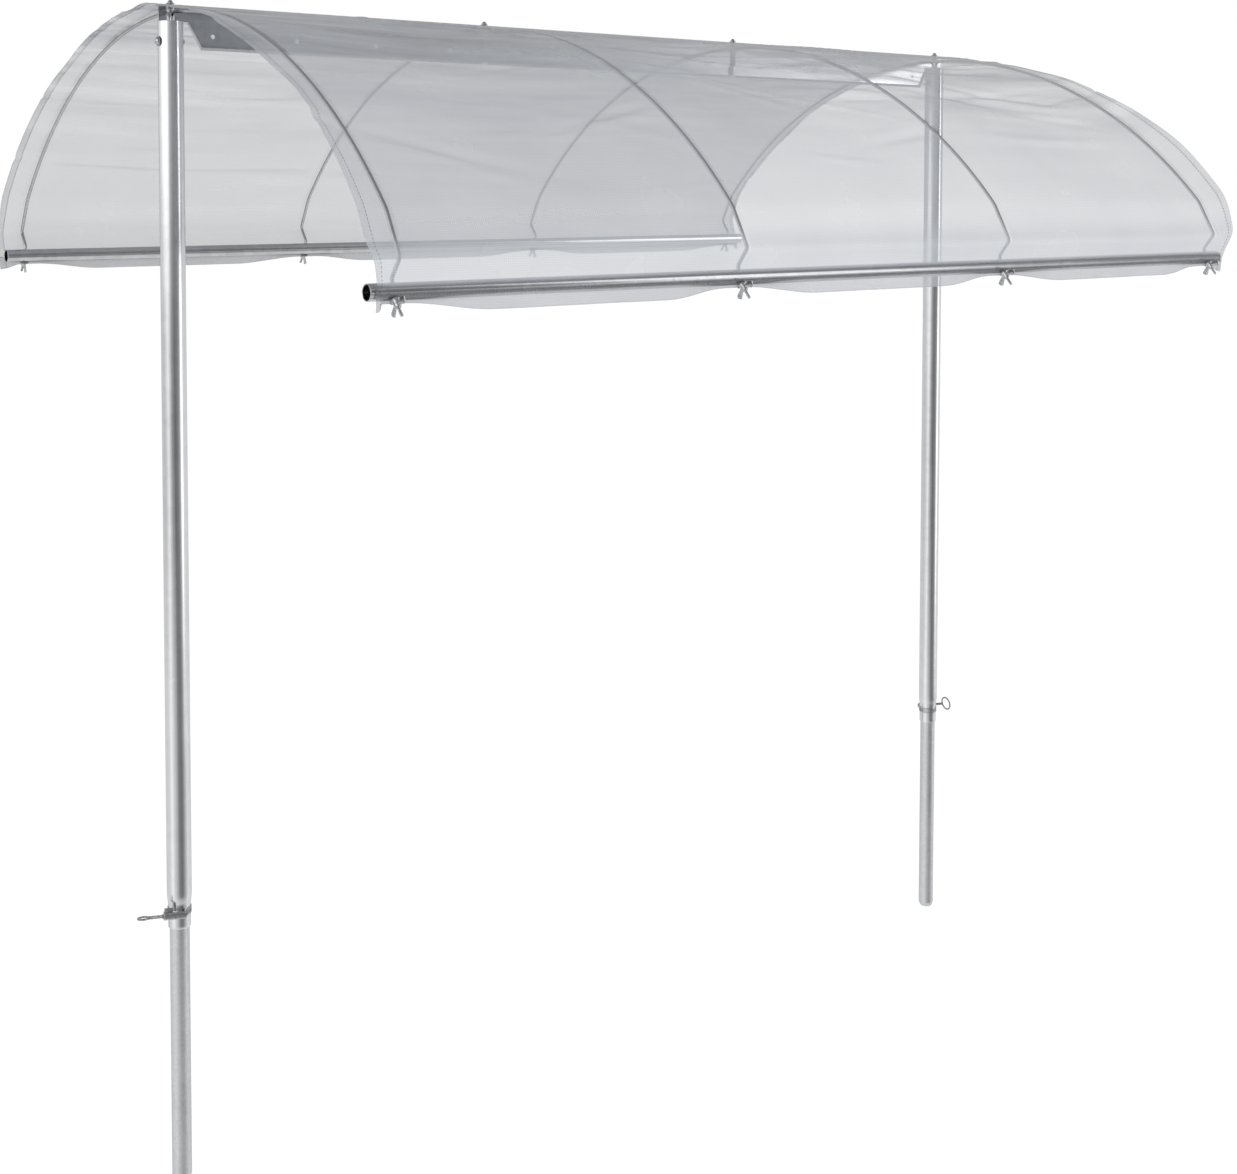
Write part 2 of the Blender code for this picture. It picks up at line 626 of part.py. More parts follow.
def smooth(value):
    """Smooth step from 0 to 1."""
    value = min(max(value, 0), 1)
    return value * value * (3 - 2 * value)


def film_section(hug, sag):
    """Inner side (y, z) of the back half of the film, from the ridge to its lower edge.

    hug is 1 where a screw draws the film round the rail, and 0 where it hangs straight.
    sag is how far the film sinks between two hoops at the middle of the arch."""
    top = RIDGE_TOP + GAP
    points = [(0, top), (FLANGE_HALF + GAP, top)]
    for i, angle in enumerate(arch_angles()):
        drop = sag * math.sin(math.pi * i / ARCH_STEPS)
        points.append(arch_point(FILM_ARCH_RADIUS - drop, angle))
    outside = FILM_ARCH_RADIUS - ARCH_RADIUS
    points += [(KNEE_Y + outside, KNEE_Z), (KNEE_Y + outside, KNEE_Z - FILM_KNEE)]
    radius = FILM_HUG_RADIUS
    for angle in (0, SCREW_TILT / 2, SCREW_TILT):
        drop = radius * angle
        points.append((RAIL_Y + radius * (1 + hug * (math.cos(angle) - 1)),
                       RAIL_Z - drop + hug * (drop - radius * math.sin(angle))))
    y, z = points[-1]
    rest = FILM_TAIL - radius * SCREW_TILT
    points.append((y - hug * rest * math.sin(SCREW_TILT),
                   z - rest * (1 + hug * (math.cos(SCREW_TILT) - 1))))
    return points


def film_stations():
    """Places (x, hug, sag) along the ridge at which the film's section is drawn."""
    stations = [(-CANOPY_END, 1, 0)]
    for i, x in enumerate(HOOP_XS):
        stations += [(x - HUG_LENGTH, 1, 0), (x + HUG_LENGTH, 1, 0)]
        if i == BAYS:
            break
        for step in (HANG_LENGTH, BAY / 2, BAY - HANG_LENGTH):
            reach = min(step, BAY - step)
            hug = 1 - smooth((reach - HUG_LENGTH) / (HANG_LENGTH - HUG_LENGTH))
            stations.append((x + step, hug, BAY_SAG * math.sin(math.pi * step / BAY) ** 2))
    stations.append((CANOPY_END, 1, 0))
    return stations


def make_canopy(film):
    """Film over the hoops: half of it is drawn, mirrored and thickened, then pierced."""
    bm = bmesh.new()
    rows = [[bm.verts.new((x, y, z)) for y, z in film_section(hug, sag)]
            for x, hug, sag in film_stations()]
    for row, after in zip(rows, rows[1:]):
        for i in range(len(row) - 1):
            bm.faces.new((row[i], after[i], after[i + 1], row[i + 1]))
    canopy = place("canopy", mesh_from("canopy", bm), film)
    mirror = canopy.modifiers.new("Other half", "MIRROR")
    mirror.use_axis = (False, True, False)
    mirror.merge_threshold = 0.00001
    solid = canopy.modifiers.new("Film", "SOLIDIFY")
    solid.thickness = FILM
    solid.offset = 1
    solid.use_even_offset = True
    bm = bmesh.new()
    for x in HOOP_XS:
        add_cylinder(bm, CAP_SHANK + 2 * GAP, 8 * FILM, (x, 0, RIDGE_TOP + FILM), (0, 0, 1), 12)
        for sign in (-1, 1):
            frame = screw_frame(x, sign)
            centre = frame @ Vector((0, 0, FILM_HUG_RADIUS + FILM / 2))
            axis = frame.to_3x3() @ Vector((0, 0, 1))
            add_cylinder(bm, BOSS_RADIUS + 2 * GAP, 3 * FILM, centre, axis, 12)
    combine(canopy, "DIFFERENCE", hidden("cut_film_holes", bm))


start_scene()
GALVANISED = make_material("Galvanised tube", (0.72, 0.73, 0.74), 0.35, 1)
SHEET_METAL = make_material("Galvanised sheet", (0.6, 0.61, 0.62), 0.4, 1)
ROD = make_material("Zinc-plated rod", (0.66, 0.66, 0.65), 0.35, 1)
DARK = make_material("Dark zinc fastener", (0.2, 0.2, 0.21), 0.45, 1)
FILM_MATERIAL = make_material("Reinforced film", (0.8, 0.81, 0.82), 0.5, 0)
make_posts(GALVANISED)
make_clamps(SHEET_METAL, DARK)
make_post_bolts(DARK)
make_ridge(SHEET_METAL)
make_ridge_joints(SHEET_METAL)
make_cap_bolts(DARK)
make_hoops(ROD)
make_rails(GALVANISED, DARK)
make_wing_screws(DARK)
make_canopy(FILM_MATERIAL)
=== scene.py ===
import math

import bmesh
import bpy
import numpy as np
from mathutils import Matrix, Vector


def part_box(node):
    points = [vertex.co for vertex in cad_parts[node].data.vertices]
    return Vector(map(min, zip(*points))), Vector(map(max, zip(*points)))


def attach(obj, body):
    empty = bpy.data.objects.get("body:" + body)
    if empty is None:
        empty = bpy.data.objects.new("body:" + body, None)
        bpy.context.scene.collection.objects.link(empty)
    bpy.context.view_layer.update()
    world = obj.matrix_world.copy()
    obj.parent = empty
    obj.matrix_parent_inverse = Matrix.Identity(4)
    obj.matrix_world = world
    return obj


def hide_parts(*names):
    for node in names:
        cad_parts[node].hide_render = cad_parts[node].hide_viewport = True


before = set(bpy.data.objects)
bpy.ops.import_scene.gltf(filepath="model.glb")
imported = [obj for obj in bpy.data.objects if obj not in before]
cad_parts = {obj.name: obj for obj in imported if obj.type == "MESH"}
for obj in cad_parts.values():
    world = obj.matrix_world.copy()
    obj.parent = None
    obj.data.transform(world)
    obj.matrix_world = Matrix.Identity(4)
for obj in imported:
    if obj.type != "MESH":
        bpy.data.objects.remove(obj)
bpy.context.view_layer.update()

# Studio. A plain white floor runs into a white backdrop. Tall soft panels all round draw the
# light and dark bands on the tubes, and a soft dome and two lamps light the film.
scene = bpy.context.scene
white = (1, 1, 1, 1)
floor_reach, floor_glow = 30.0, 0.87


def set_up(thing, **settings):
    """Gives a thing its settings."""
    for key, value in settings.items():
        setattr(thing, key, value)
    return thing


def put(name, data, **settings):
    """Puts an object with its settings into the scene."""
    obj = set_up(bpy.data.objects.new(name, data), **settings)
    scene.collection.objects.link(obj)
    return obj


def feed(tree, node, sources):
    """Gives each socket named in sources its value, or links it to an output.

    A node as a source stands for its first output."""
    for socket, source in sources.items():
        if isinstance(source, bpy.types.Node):
            source = source.outputs[0]
        if isinstance(source, bpy.types.NodeSocket):
            tree.links.new(source, node.inputs[socket])
        else:
            node.inputs[socket].default_value = source


def add_node(tree, kind, sources=None, **settings):
    """Adds a node with its settings, and then feeds its sockets."""
    node = set_up(tree.nodes.new("ShaderNode" + kind), **settings)
    feed(tree, node, sources or {})
    return node


def maths(tree, operation, *values, **settings):
    """A Math node that works on values, outputs or nodes."""
    return add_node(tree, "Math", dict(enumerate(values)), operation=operation, **settings)


def ranged(tree, value, start, end, low=0.0, high=1.0, **settings):
    """A Map Range node: a value from start to end becomes one from low to high."""
    return add_node(tree, "MapRange", {"Value": value, "From Min": start, "From Max": end,
                                       "To Min": low, "To Max": high}, **settings)


def new_finish(name, plain):
    """A material, its node tree and its shader, whose sockets get their plain values."""
    material = bpy.data.materials.new(name)
    material.use_nodes = True
    shader = material.node_tree.nodes["Principled BSDF"]
    feed(material.node_tree, shader, plain)
    return material, material.node_tree, shader


floor_mesh = bpy.data.meshes.new("floor")
floor_mesh.from_pydata(np.array([(-1, -1, 0), (1, -1, 0), (1, 1, 0), (-1, 1, 0)]) * floor_reach,
                       [], [(0, 1, 2, 3)])
floor = put("floor", floor_mesh, visible_glossy=False, visible_diffuse=False)
floor_mesh.materials.append(new_finish("floor white", {
    "Base Color": (0.2, 0.2, 0.2, 1), "Roughness": 0.9, "Specular IOR Level": 0,
    "Emission Color": white, "Emission Strength": floor_glow})[0])

# Low, middle and high panels: (degrees from the front toward the right, brightness).
panel_levels = (
    [(-180, 0.66), (-120, 0.7), (-80, 0.95), (-56, 0.68), (-37, 0.5), (-18, 0.24),
     (0, 0.17), (14, 0.19), (26, 0.3), (42, 0.5), (67, 0.78), (100, 0.7), (180, 0.66)],
    [(-180, 0.62), (-120, 0.55), (-76, 0.85), (-58, 0.5), (-44, 0.27), (-17, 0.14),
     (4, 0.22), (20, 0.36), (31, 0.7), (40, 1.7), (50, 1.7), (60, 0.72), (180, 0.62)],
    [(-180, 0.5), (-140, 0.8), (-100, 1.3), (-62, 1.3), (-40, 0.52), (-20, 0.34),
     (-4, 0.26), (16, 0.1), (28, 0.08), (36, 0.2), (41, 3.6), (47, 3.6), (52, 0.8),
     (64, 0.5), (83, 0.52), (120, 0.5), (180, 0.5)])
# A ramp holds about half of each level, and the background's strength doubles it.
panel_share = 0.497
panel_strength = 2.0
overhead, under = 0.177, 0.3978
dome_levels = (1.4927, 0.7463)


def panel_ramp(stops):
    """Brightness round the room, as a colour ramp of greys over one turn."""
    ramp = add_node(room, "ValToRGB", {"Fac": turn})
    ramp.color_ramp.interpolation = "EASE"
    places = ramp.color_ramp.elements
    for degrees, _ in stops[1:-1]:
        places.new((degrees + 180) / 360)
    for place, (_, level) in zip(places, stops):
        place.color = (*[panel_share * level] * 3, 1)
    return ramp


def panel_mix(low, high, below, above):
    """Blends two levels of the room as the view rises from one height (sine) to another."""
    rising = ranged(room, axes.outputs["Z"], low, high, interpolation_type="SMOOTHSTEP")
    return add_node(room, "Mix", {"Factor": rising, "A": below, "B": above})


world = bpy.data.worlds.new("studio")
scene.world = world
world.use_nodes = True
room = world.node_tree
room.nodes.clear()
axes = add_node(room, "SeparateXYZ", {"Vector": add_node(room, "TexCoord")})
toward_front = maths(room, "MULTIPLY", axes.outputs["Y"], -1)
heading = maths(room, "ARCTAN2", axes.outputs["X"], toward_front)
turn = ranged(room, heading, -math.pi, math.pi)
low_panels, middle_panels, high_panels = map(panel_ramp, panel_levels)
light = panel_mix(-0.3, -0.16, low_panels, middle_panels)
light = panel_mix(-0.1, 0.04, light, high_panels)
light = panel_mix(0.35, 0.8, light, overhead)
light = panel_mix(-0.75, -0.4, under, light)
panels = add_node(room, "Background", {"Color": light, "Strength": panel_strength})
dome = add_node(room, "Background", {"Color": panel_mix(-0.3, 0.6, *dome_levels)})
backdrop = add_node(room, "Background", {"Color": white})
seen = add_node(room, "LightPath")
soft = add_node(room, "MixShader", {0: seen.outputs["Is Diffuse Ray"], 1: panels, 2: dome})
pick = add_node(room, "MixShader", {0: seen.outputs["Is Camera Ray"], 1: soft, 2: backdrop})
add_node(room, "OutputWorld", {"Surface": pick})

for name, spot, aim, side, watts in (("key", (-0.6, -5.2, 3.0), (0.2, -0.4, 1.7), 2.0, 112),
                                     ("fill", (4.5, -2.5, 3.0), (0, 0, 1.2), 4.0, 15)):
    lamp = set_up(bpy.data.lights.new(name, "AREA"), size=side, energy=watts)
    facing = (Vector(aim) - Vector(spot)).to_track_quat("-Z", "Y")
    put(name, lamp, location=spot, rotation_euler=facing.to_euler(), visible_glossy=False)

camera_spot = (-2.1584, -2.8035, 1.7362)
camera_heading = math.radians(-37.663)
camera_pitch = math.radians(90 - 2.694)
camera_roll = math.radians(0.102)
lens = set_up(bpy.data.cameras.new("camera"), sensor_width=36, sensor_fit="HORIZONTAL",
              lens=50.59, shift_x=0.0012, shift_y=-0.2601)
scene.camera = put("camera", lens, matrix_world=(
    Matrix.Translation(camera_spot) @ Matrix.Rotation(camera_heading, 4, "Z")
    @ Matrix.Rotation(camera_pitch, 4, "X") @ Matrix.Rotation(camera_roll, 4, "Z")))
scene.view_settings.view_transform = "Standard"

# Lower posts. Two galvanised steel tubes, 33.7 mm across, that stand in the soil.
# Each is cut from drawn tube, and its foot is swaged in so that it pushes into the ground.
sides = ("left", "right")
MM = 0.001
lower_radius, lower_wall, foot_radius, foot_rise = 16.85, 1.8, 13.0, 9.0
lower_bore = lower_radius - lower_wall
rim_round, swage_bend, foot_round = 0.5, 6.0, 0.6
tube_count = 96


def circle(count):
    """Angles at even steps round a full turn."""
    return np.linspace(0, 2 * np.pi, count, endpoint=False)


def unit(vectors):
    """The same directions with a length of 1."""
    return vectors / np.maximum(np.linalg.norm(vectors, axis=-1, keepdims=True), 1e-9)


def joined(*parts):
    """Coordinates put together along a last axis, each spread to their common shape."""
    return np.stack(np.broadcast_arrays(*parts), axis=-1)


def skin(grid, ring_rows=False, ring_columns=False):
    """Points and quads of a surface drawn as a grid. A ring joins its last line to its first."""
    rows, columns = grid.shape[:2]
    index = np.arange(rows * columns).reshape(rows, columns)
    if ring_rows:
        index = np.vstack([index, index[:1]])
    if ring_columns:
        index = np.hstack([index, index[:, :1]])
    quads = joined(index[:-1, :-1], index[1:, :-1], index[1:, 1:], index[:-1, 1:])
    return grid.reshape(-1, 3), quads.reshape(-1, 4)


def eased(corners, steps=5):
    """Rounds the corners (a, b, bend radius) of a line.

    A bend starts radius x tan(turn / 2) before its corner and is a quadratic curve:
    (1 - t)^2 start + 2 t (1 - t) corner + t^2 end."""
    corners = np.array(corners, float)
    spot, radius = corners[:, :2], corners[:, 2:]
    back, ahead = (unit(np.roll(spot, step, axis=0) - spot) for step in (1, -1))
    cosine = -np.sum(back * ahead, axis=1, keepdims=True)
    reach = radius * np.sqrt((1 - cosine) / np.maximum(1 + cosine, 1e-6))
    start, corner, end = (line[:, None] for line in (spot + back * reach, spot,
                                                     spot + ahead * reach))
    t = np.linspace(0, 1, steps + 1)[None, :, None]
    return ((1 - t) ** 2 * start + 2 * t * (1 - t) * corner + t ** 2 * end).reshape(-1, 2)


def tube_grid(angle, height, radius):
    """Points about Z: x = radius cos angle, y = radius sin angle, z = height."""
    return joined(radius * np.cos(angle), radius * np.sin(angle), height)


def turned(profile, count, loop=True):
    """A profile of (radius, height) carried round Z."""
    radius, height = np.array(profile, float).T[..., None]
    return skin(tube_grid(circle(count), height, radius), ring_rows=loop, ring_columns=True)


def piece(name, shapes, material, slot, body, *nodes, place=Matrix(), crease=38, outward=True):
    """Joins shapes drawn in millimetres, and carried by the matrix place, into one mesh in
    metres that stands for CAD nodes.

    Doubled points are merged first, and then the faces are turned outward."""
    points, quads = zip(*shapes)
    starts = np.cumsum([0] + [len(spots) for spots in points])
    carry = np.array(place)
    points = np.vstack(points) @ carry[:3, :3].T + carry[:3, 3]
    quads = np.vstack([corners + start for corners, start in zip(quads, starts)])
    mesh = bpy.data.meshes.new(name)
    mesh.from_pydata(points * MM, [], quads)
    bm = bmesh.new()
    bm.from_mesh(mesh)
    bmesh.ops.remove_doubles(bm, verts=bm.verts, dist=1e-6)
    if outward:
        bmesh.ops.recalc_face_normals(bm, faces=bm.faces)
    bm.to_mesh(mesh)
    bm.free()
    mesh.shade_smooth()
    mesh.set_sharp_from_angle(angle=math.radians(crease))
    mesh.materials.append(material)
    obj = put(name, mesh)
    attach(obj, body)
    if nodes:
        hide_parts(*nodes)
    return obj


def upright(node):
    """The middle of a CAD node along X, its bottom and its top, in millimetres."""
    low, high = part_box(node)
    return (low.x + high.x) / 2 / MM, low.z / MM, high.z / MM


def new_group(name, sockets_in, sockets_out):
    """Starts a shader node group with named inputs (name, kind, value) and outputs (name, kind)."""
    group = bpy.data.node_groups.new(name, "ShaderNodeTree")
    for label, kind, value in sockets_in:
        socket = group.interface.new_socket(label, in_out="INPUT", socket_type="NodeSocket" + kind)
        socket.default_value = value
    for label, kind in sockets_out:
        group.interface.new_socket(label, in_out="OUTPUT", socket_type="NodeSocket" + kind)
    return group, group.nodes.new("NodeGroupInput").outputs, group.nodes.new("NodeGroupOutput")


def colour_mix(tree, share, first, second):
    """Blends two colours, each a value or an output."""
    return add_node(tree, "Mix", {"Factor": share, 6: first, 7: second},
                    data_type="RGBA").outputs[2]


# Zinc coat: crystals of slightly unlike grey, with drawn lines along the piece and dull smears.
zinc, zinc_in, zinc_out = new_group(
    "zinc coat",
    [("Place", "Vector", (0, 0, 0)), ("Dark", "Color", (0.5, 0.5, 0.5, 1)),
     ("Light", "Color", (0.8, 0.8, 0.8, 1)), ("Crystal", "Float", 120.0),
     ("Line", "Vector", (400, 400, 6)), ("Smooth", "Float", 0.2), ("Dull", "Float", 0.4)],
    [("Color", "Color"), ("Roughness", "Float"), ("Height", "Float")])
crystal = add_node(zinc, "TexVoronoi", {"Vector": zinc_in["Place"], "Scale": zinc_in["Crystal"]})
shade = add_node(zinc, "SeparateColor", {"Color": crystal.outputs["Color"]})
drawn = add_node(zinc, "VectorMath", {0: zinc_in["Place"], 1: zinc_in["Line"]},
                 operation="MULTIPLY")
lines = add_node(zinc, "TexNoise", {"Vector": drawn, "Scale": 1.0, "Detail": 4.0})
smear = add_node(zinc, "TexNoise", {"Vector": zinc_in["Place"], "Scale": 9.0, "Detail": 5.0,
                                    "Roughness": 0.6})
blend = maths(zinc, "MULTIPLY_ADD", shade, lines, smear)
feed(zinc, zinc_out, {
    "Color": colour_mix(zinc, ranged(zinc, blend, 0.35, 1.15), zinc_in["Dark"], zinc_in["Light"]),
    "Roughness": ranged(zinc, smear, 0.3, 0.75, zinc_in["Smooth"], zinc_in["Dull"]),
    "Height": lines})


def zinc_finish(name, dark, light, smooth, dull, line=(400, 400, 6), crystal=120.0, bump=0.02,
                metal=1.0):
    """A zinc-coated steel: colours between dark and light, roughness between smooth and dull."""
    material, tree, shader = new_finish(name, {"Metallic": metal})
    coat = add_node(tree, "Group", {
        "Place": add_node(tree, "TexCoord").outputs["Object"], "Dark": (*dark, 1),
        "Light": (*light, 1), "Crystal": crystal, "Line": line, "Smooth": smooth, "Dull": dull},
        node_tree=zinc)
    relief = add_node(tree, "Bump", {"Height": coat.outputs["Height"], "Strength": bump,
                                     "Distance": 0.001})
    feed(tree, shader, {"Base Color": coat.outputs["Color"],
                        "Roughness": coat.outputs["Roughness"], "Normal": relief})
    return material


frosted_zinc = zinc_finish("frosted zinc tube", (0.71, 0.72, 0.745), (0.82, 0.83, 0.85), 0.4, 0.52,
                           crystal=260.0)
for side in sides:
    x, foot, top = upright(f"lower_post_{side}")
    tube = turned(eased([(lower_radius, top, rim_round),
                         (lower_radius, foot + foot_rise, swage_bend),
                         (foot_radius, foot, foot_round),
                         (foot_radius - lower_wall, foot, foot_round),
                         (lower_bore, foot + foot_rise, swage_bend),
                         (lower_bore, top, rim_round)]), tube_count)
    piece(f"lower_tube_{side}", [tube], frosted_zinc, "galvanised_tube", "ground_posts",
          f"lower_post_{side}", place=Matrix.Translation((x, 0, 0)))

# Upper posts. Bright galvanised tubes, 42.4 mm across, that slide over the lower ones.
# The neck is squeezed down and slit on two sides, so that a clamp can pinch it on the lower tube.
upper_radius, upper_wall = 21.2, 2.0
neck_radius, neck_top, shoulder = 19.25, 488.0, 508.0
slot_half, slot_top, slots = 0.5, 492.0, 2


def step_up(value):
    """Smooth step: 3 v^2 - 2 v^3, with v held between 0 and 1."""
    v = np.clip(value, 0, 1)
    return v * v * (3 - 2 * v)


def walled(outer, inner, keep):
    """A sheet between two grids of points, its columns a ring, without the cells where keep is
    false. Each edge between a kept cell and a dropped one, or the grid's end, gets a wall."""
    rows, columns = outer.shape[:2]
    index = np.arange(rows * columns).reshape(rows, columns)
    beside = np.roll(index, -1, axis=1)
    a, b, c, d = index[:-1], index[1:], beside[1:], beside[:-1]
    top = rows * columns
    quads = [joined(a, b, c, d)[keep], joined(d, c, b, a)[keep] + top]
    padded = np.pad(keep, ((1, 1), (0, 0)))
    for start, end, beyond in ((d, a, padded[:-2]), (b, c, padded[2:]),
                               (a, b, np.roll(keep, 1, axis=1)), (c, d, np.roll(keep, -1, axis=1))):
        edge = keep & ~beyond
        quads.append(joined(end[edge], start[edge], start[edge] + top, end[edge] + top))
    return np.vstack([outer.reshape(-1, 3), inner.reshape(-1, 3)]), np.vstack(quads)


bright_zinc = zinc_finish("bright zinc tube", (0.84, 0.85, 0.87), (0.92, 0.93, 0.95), 0.13, 0.21,
                          line=(500, 500, 3), crystal=60.0, bump=0.01)
slot_turn, part_turn = slot_half / neck_radius, 2 * np.pi / slots
part = np.concatenate([[-slot_turn], np.linspace(slot_turn, part_turn - slot_turn, 48)[:-1]])
angle = np.concatenate([part + i * part_turn for i in range(slots)])
in_slot = np.isclose((angle + slot_turn + 1e-3) % part_turn, 1e-3, atol=1e-4)
for side in sides:
    x, bottom, top = upright(f"upper_post_{side}")
    # Rings of the tube stand close at its two rims, at the slots' ends and over the shoulder.
    height = np.concatenate([[bottom, bottom, bottom + rim_round],
                             np.linspace(bottom + 6, slot_top, 6),
                             np.linspace(slot_top + 4, shoulder + 6, 4),
                             np.linspace(shoulder + 40, top - 2, 12),
                             [top - rim_round, top, top]])[:, None]
    radius = neck_radius + (upper_radius - neck_radius) * step_up(
        (height - neck_top) / (shoulder - neck_top))
    edge = np.zeros(height.shape)
    edge[[0, -1]] = rim_round
    edge[[1, -2]] = rim_round * 0.3
    tube = walled(tube_grid(angle, height, radius - edge),
                  tube_grid(angle, height, radius - upper_wall + edge),
                  ~(in_slot & (height[:-1] < slot_top - 1)))
    piece(f"upper_tube_{side}", [tube], bright_zinc, "galvanised_tube", "roof",
          f"upper_post_{side}", place=Matrix.Translation((x, 0, 0)))

# Clamps. A perforated steel band with a worm housing, spot welded on, pinches each neck.
# A ring at the end of the worm screw turns it by hand.
clamp_z, band_half, band_in, band_out = 479.0, 6.0, 19.55, 20.35
band_rows = np.array([-6.0, -5.8, -3.4, -3.0, 0, 3.0, 3.4, 5.8, 6.0])[:, None]
perforations, hole_lines, hole_lean, band_bulge = 40, np.array([0, 0.1, 0.55, 0.65]), 0.012, 0.1
clamp_turn = {"left": math.radians(180 - 23), "right": math.radians(-23)}
ring_roll = {"left": math.radians(104), "right": math.radians(-40)}
housing_back, housing_front, housing_in, housing_out, housing_half = -11.0, 27.0, 17.0, 31.0, 6.5
housing_ease, ear_start, ear_end, ear_thick, ear_rise = 2.0, 11.0, 25.5, 1.5, 7.0
screw_y = 26.0
worm_radius, worm_depth, worm_pitch, collar_radius, collar_width = 3.0, 0.45, 0.6, 4.5, 1.5
ring_half, ring_wide, ring_wire, ring_centre = 9.3, 14.9, 1.7, 60.0
band_steel = zinc_finish("clamp steel", (0.36, 0.365, 0.375), (0.72, 0.73, 0.75), 0.16, 0.34,
                         line=(60, 60, 900), crystal=500.0)
dark_zinc = zinc_finish("dark zinc", (0.22, 0.22, 0.23), (0.62, 0.62, 0.63), 0.2, 0.42,
                        line=(300, 300, 300), crystal=700.0, bump=0.05)
cast_zinc = zinc_finish("plated casting", (0.34, 0.35, 0.36), (0.78, 0.79, 0.81), 0.05, 0.14,
                        line=(300, 300, 300), crystal=500.0, bump=0.04)


def squared_bar(x, y, z, half_y, half_z, power):
    """A closed bar along X. Each of its rings is a rounded rectangle about (y, z), whose points
    are its half sizes times cos t and sin t, each raised to 2 / power with its sign."""
    t = circle(40)
    cosine, sine = (np.sign(v) * np.abs(v) ** (2 / power) for v in (np.cos(t), np.sin(t)))
    x, y, z, half_y, half_z = joined(x, y, z, half_y, half_z).T[..., None]
    grid = joined(x, y + half_y * cosine, z + half_z * sine)
    ends = np.broadcast_to(grid.mean(axis=1, keepdims=True)[[0, -1]], (2, *grid.shape[1:]))
    return skin(np.concatenate([ends[:1], grid, ends[1:]]), ring_columns=True)


def thread_line(radius, depth, low, high, pitch, bend):
    """Corners down a thread between two heights. Every second one lies deeper by depth."""
    heights = np.arange(low, high, pitch)[::-1]
    deeper = np.arange(len(heights)) % 2
    return joined(radius - depth * deeper, heights, bend)


hole_turn = 2 * np.pi / perforations
angle = ((np.arange(perforations)[:, None] + hole_lines) * hole_turn).ravel()
bulge = band_bulge * (1 - (band_rows / band_half) ** 2)
keep = np.ones((len(band_rows) - 1, len(angle)), bool)
keep[2:6, 1::len(hole_lines)] = False
band = walled(*(tube_grid(angle + hole_lean * band_rows, band_rows, radius)
                for radius in (band_out + bulge, band_in)), keep)

# The housing's inner side follows the band: y = sqrt(R^2 - x^2), no nearer than its feet.
along = np.concatenate([np.linspace(housing_back, housing_back + 2, 6),
                        np.linspace(housing_back + 4, housing_front - 4, 16),
                        np.linspace(housing_front - 2, housing_front, 6)])
end_gap = np.clip(np.minimum(along - housing_back, housing_front - along) / housing_ease, 0, 1)
shrink = 1 - np.sqrt(np.clip(1 - (1 - end_gap) ** 2, 0, 1))
near_side = np.sqrt(np.maximum((band_out + 0.3) ** 2 - along ** 2, housing_in ** 2)) + shrink
far_side = housing_out - 1.4 * shrink
housing = squared_bar(along, (far_side + near_side) / 2, 0, (far_side - near_side) / 2,
                      housing_half - shrink, 4.5)

# The ear is a flat tab on the housing's top edge, its ends eased in over 0.6 mm.
q = np.linspace(0, np.pi / 2, 5)[1:]
ease_x, ease_in = 0.6 * (1 - np.cos(q)), 0.6 * (1 - np.sin(q))
along = np.concatenate([[ear_start], ear_start + ease_x, ear_end - ease_x[::-1], [ear_end]])
inset = np.concatenate([ease_in, ease_in[::-1]])
ear = squared_bar(along, screw_y - ear_thick / 2, housing_half + (ear_rise - ear_thick) / 2,
                  np.pad(ear_thick / 2 - inset, 1),
                  np.pad((ear_rise + ear_thick) / 2 - inset, 1), 8)

near, far = housing_front + 0.3, housing_back - 0.3
ring_start = ring_centre - ring_half
worm = turned(eased([(0, ring_start + 0.5, 0), (worm_radius, ring_start + 0.5, 0.8),
                     *thread_line(worm_radius, worm_depth, near + collar_width + 1.0,
                                  ring_start - 1, worm_pitch, 0.1),
                     (worm_radius, near + collar_width, 0),
                     (collar_radius, near + collar_width, 0.5),
                     (collar_radius, near, 0.2), (worm_radius, near, 0), (worm_radius, far, 0),
                     (collar_radius, far, 0.2), (collar_radius, far - collar_width, 0.5),
                     (0, far - collar_width, 0)], 3), 24, loop=False)

# The eye is an oval of round wire: wide * cos t, half * sin t, and the wire round it.
t, wire = circle(64)[:, None], circle(16)[None, :]
out_x, out_z = np.cos(t) / ring_wide, np.sin(t) / ring_half
lift = ring_wire * np.cos(wire) / np.hypot(out_x, out_z)
eye = skin(joined(ring_wide * np.cos(t) + lift * out_x, ring_wire * np.sin(wire),
                  ring_centre + ring_half * np.sin(t) + lift * out_z),
           ring_rows=True, ring_columns=True)

for side in sides:
    spot = Matrix.Translation((upright(f"clamp_band_{side}")[0], 0, clamp_z))
    clamp_frame = spot @ Matrix.Rotation(clamp_turn[side], 4, "Z")
    key_frame = (clamp_frame @ Matrix.Translation((0, screw_y, 0))
                 @ Matrix.Rotation(math.pi / 2, 4, "Y") @ Matrix.Rotation(ring_roll[side], 4, "Z"))
    piece(f"clamp_strap_{side}", [band], band_steel, "galvanised_sheet", "roof",
          f"clamp_band_{side}", place=spot)
    piece(f"clamp_box_{side}", [housing, ear], band_steel, "galvanised_sheet", "roof",
          f"clamp_housing_{side}", place=clamp_frame)
    piece(f"clamp_key_{side}", [worm, eye], dark_zinc, "dark_fastener", f"clamp_screw_{side}",
          f"clamp_screw_{side}", place=key_frame)

# Cross-bolts. A zinc-plated bolt with a domed head goes through each post head and the
# ridge's tang, and a thin round nut holds it on the inner side.
bolt_z, bolt_radius, bolt_end = 1974.5, 3.9, 23.5
bolt_rim, bolt_rim_radius, bolt_dome_radius, bolt_head = 1.8, 8.5, 6.6, 6.5
bolt_nut_radius, bolt_nut = 6.0, 1.2
seat = upper_radius + 0.3
rim_top = seat + bolt_rim


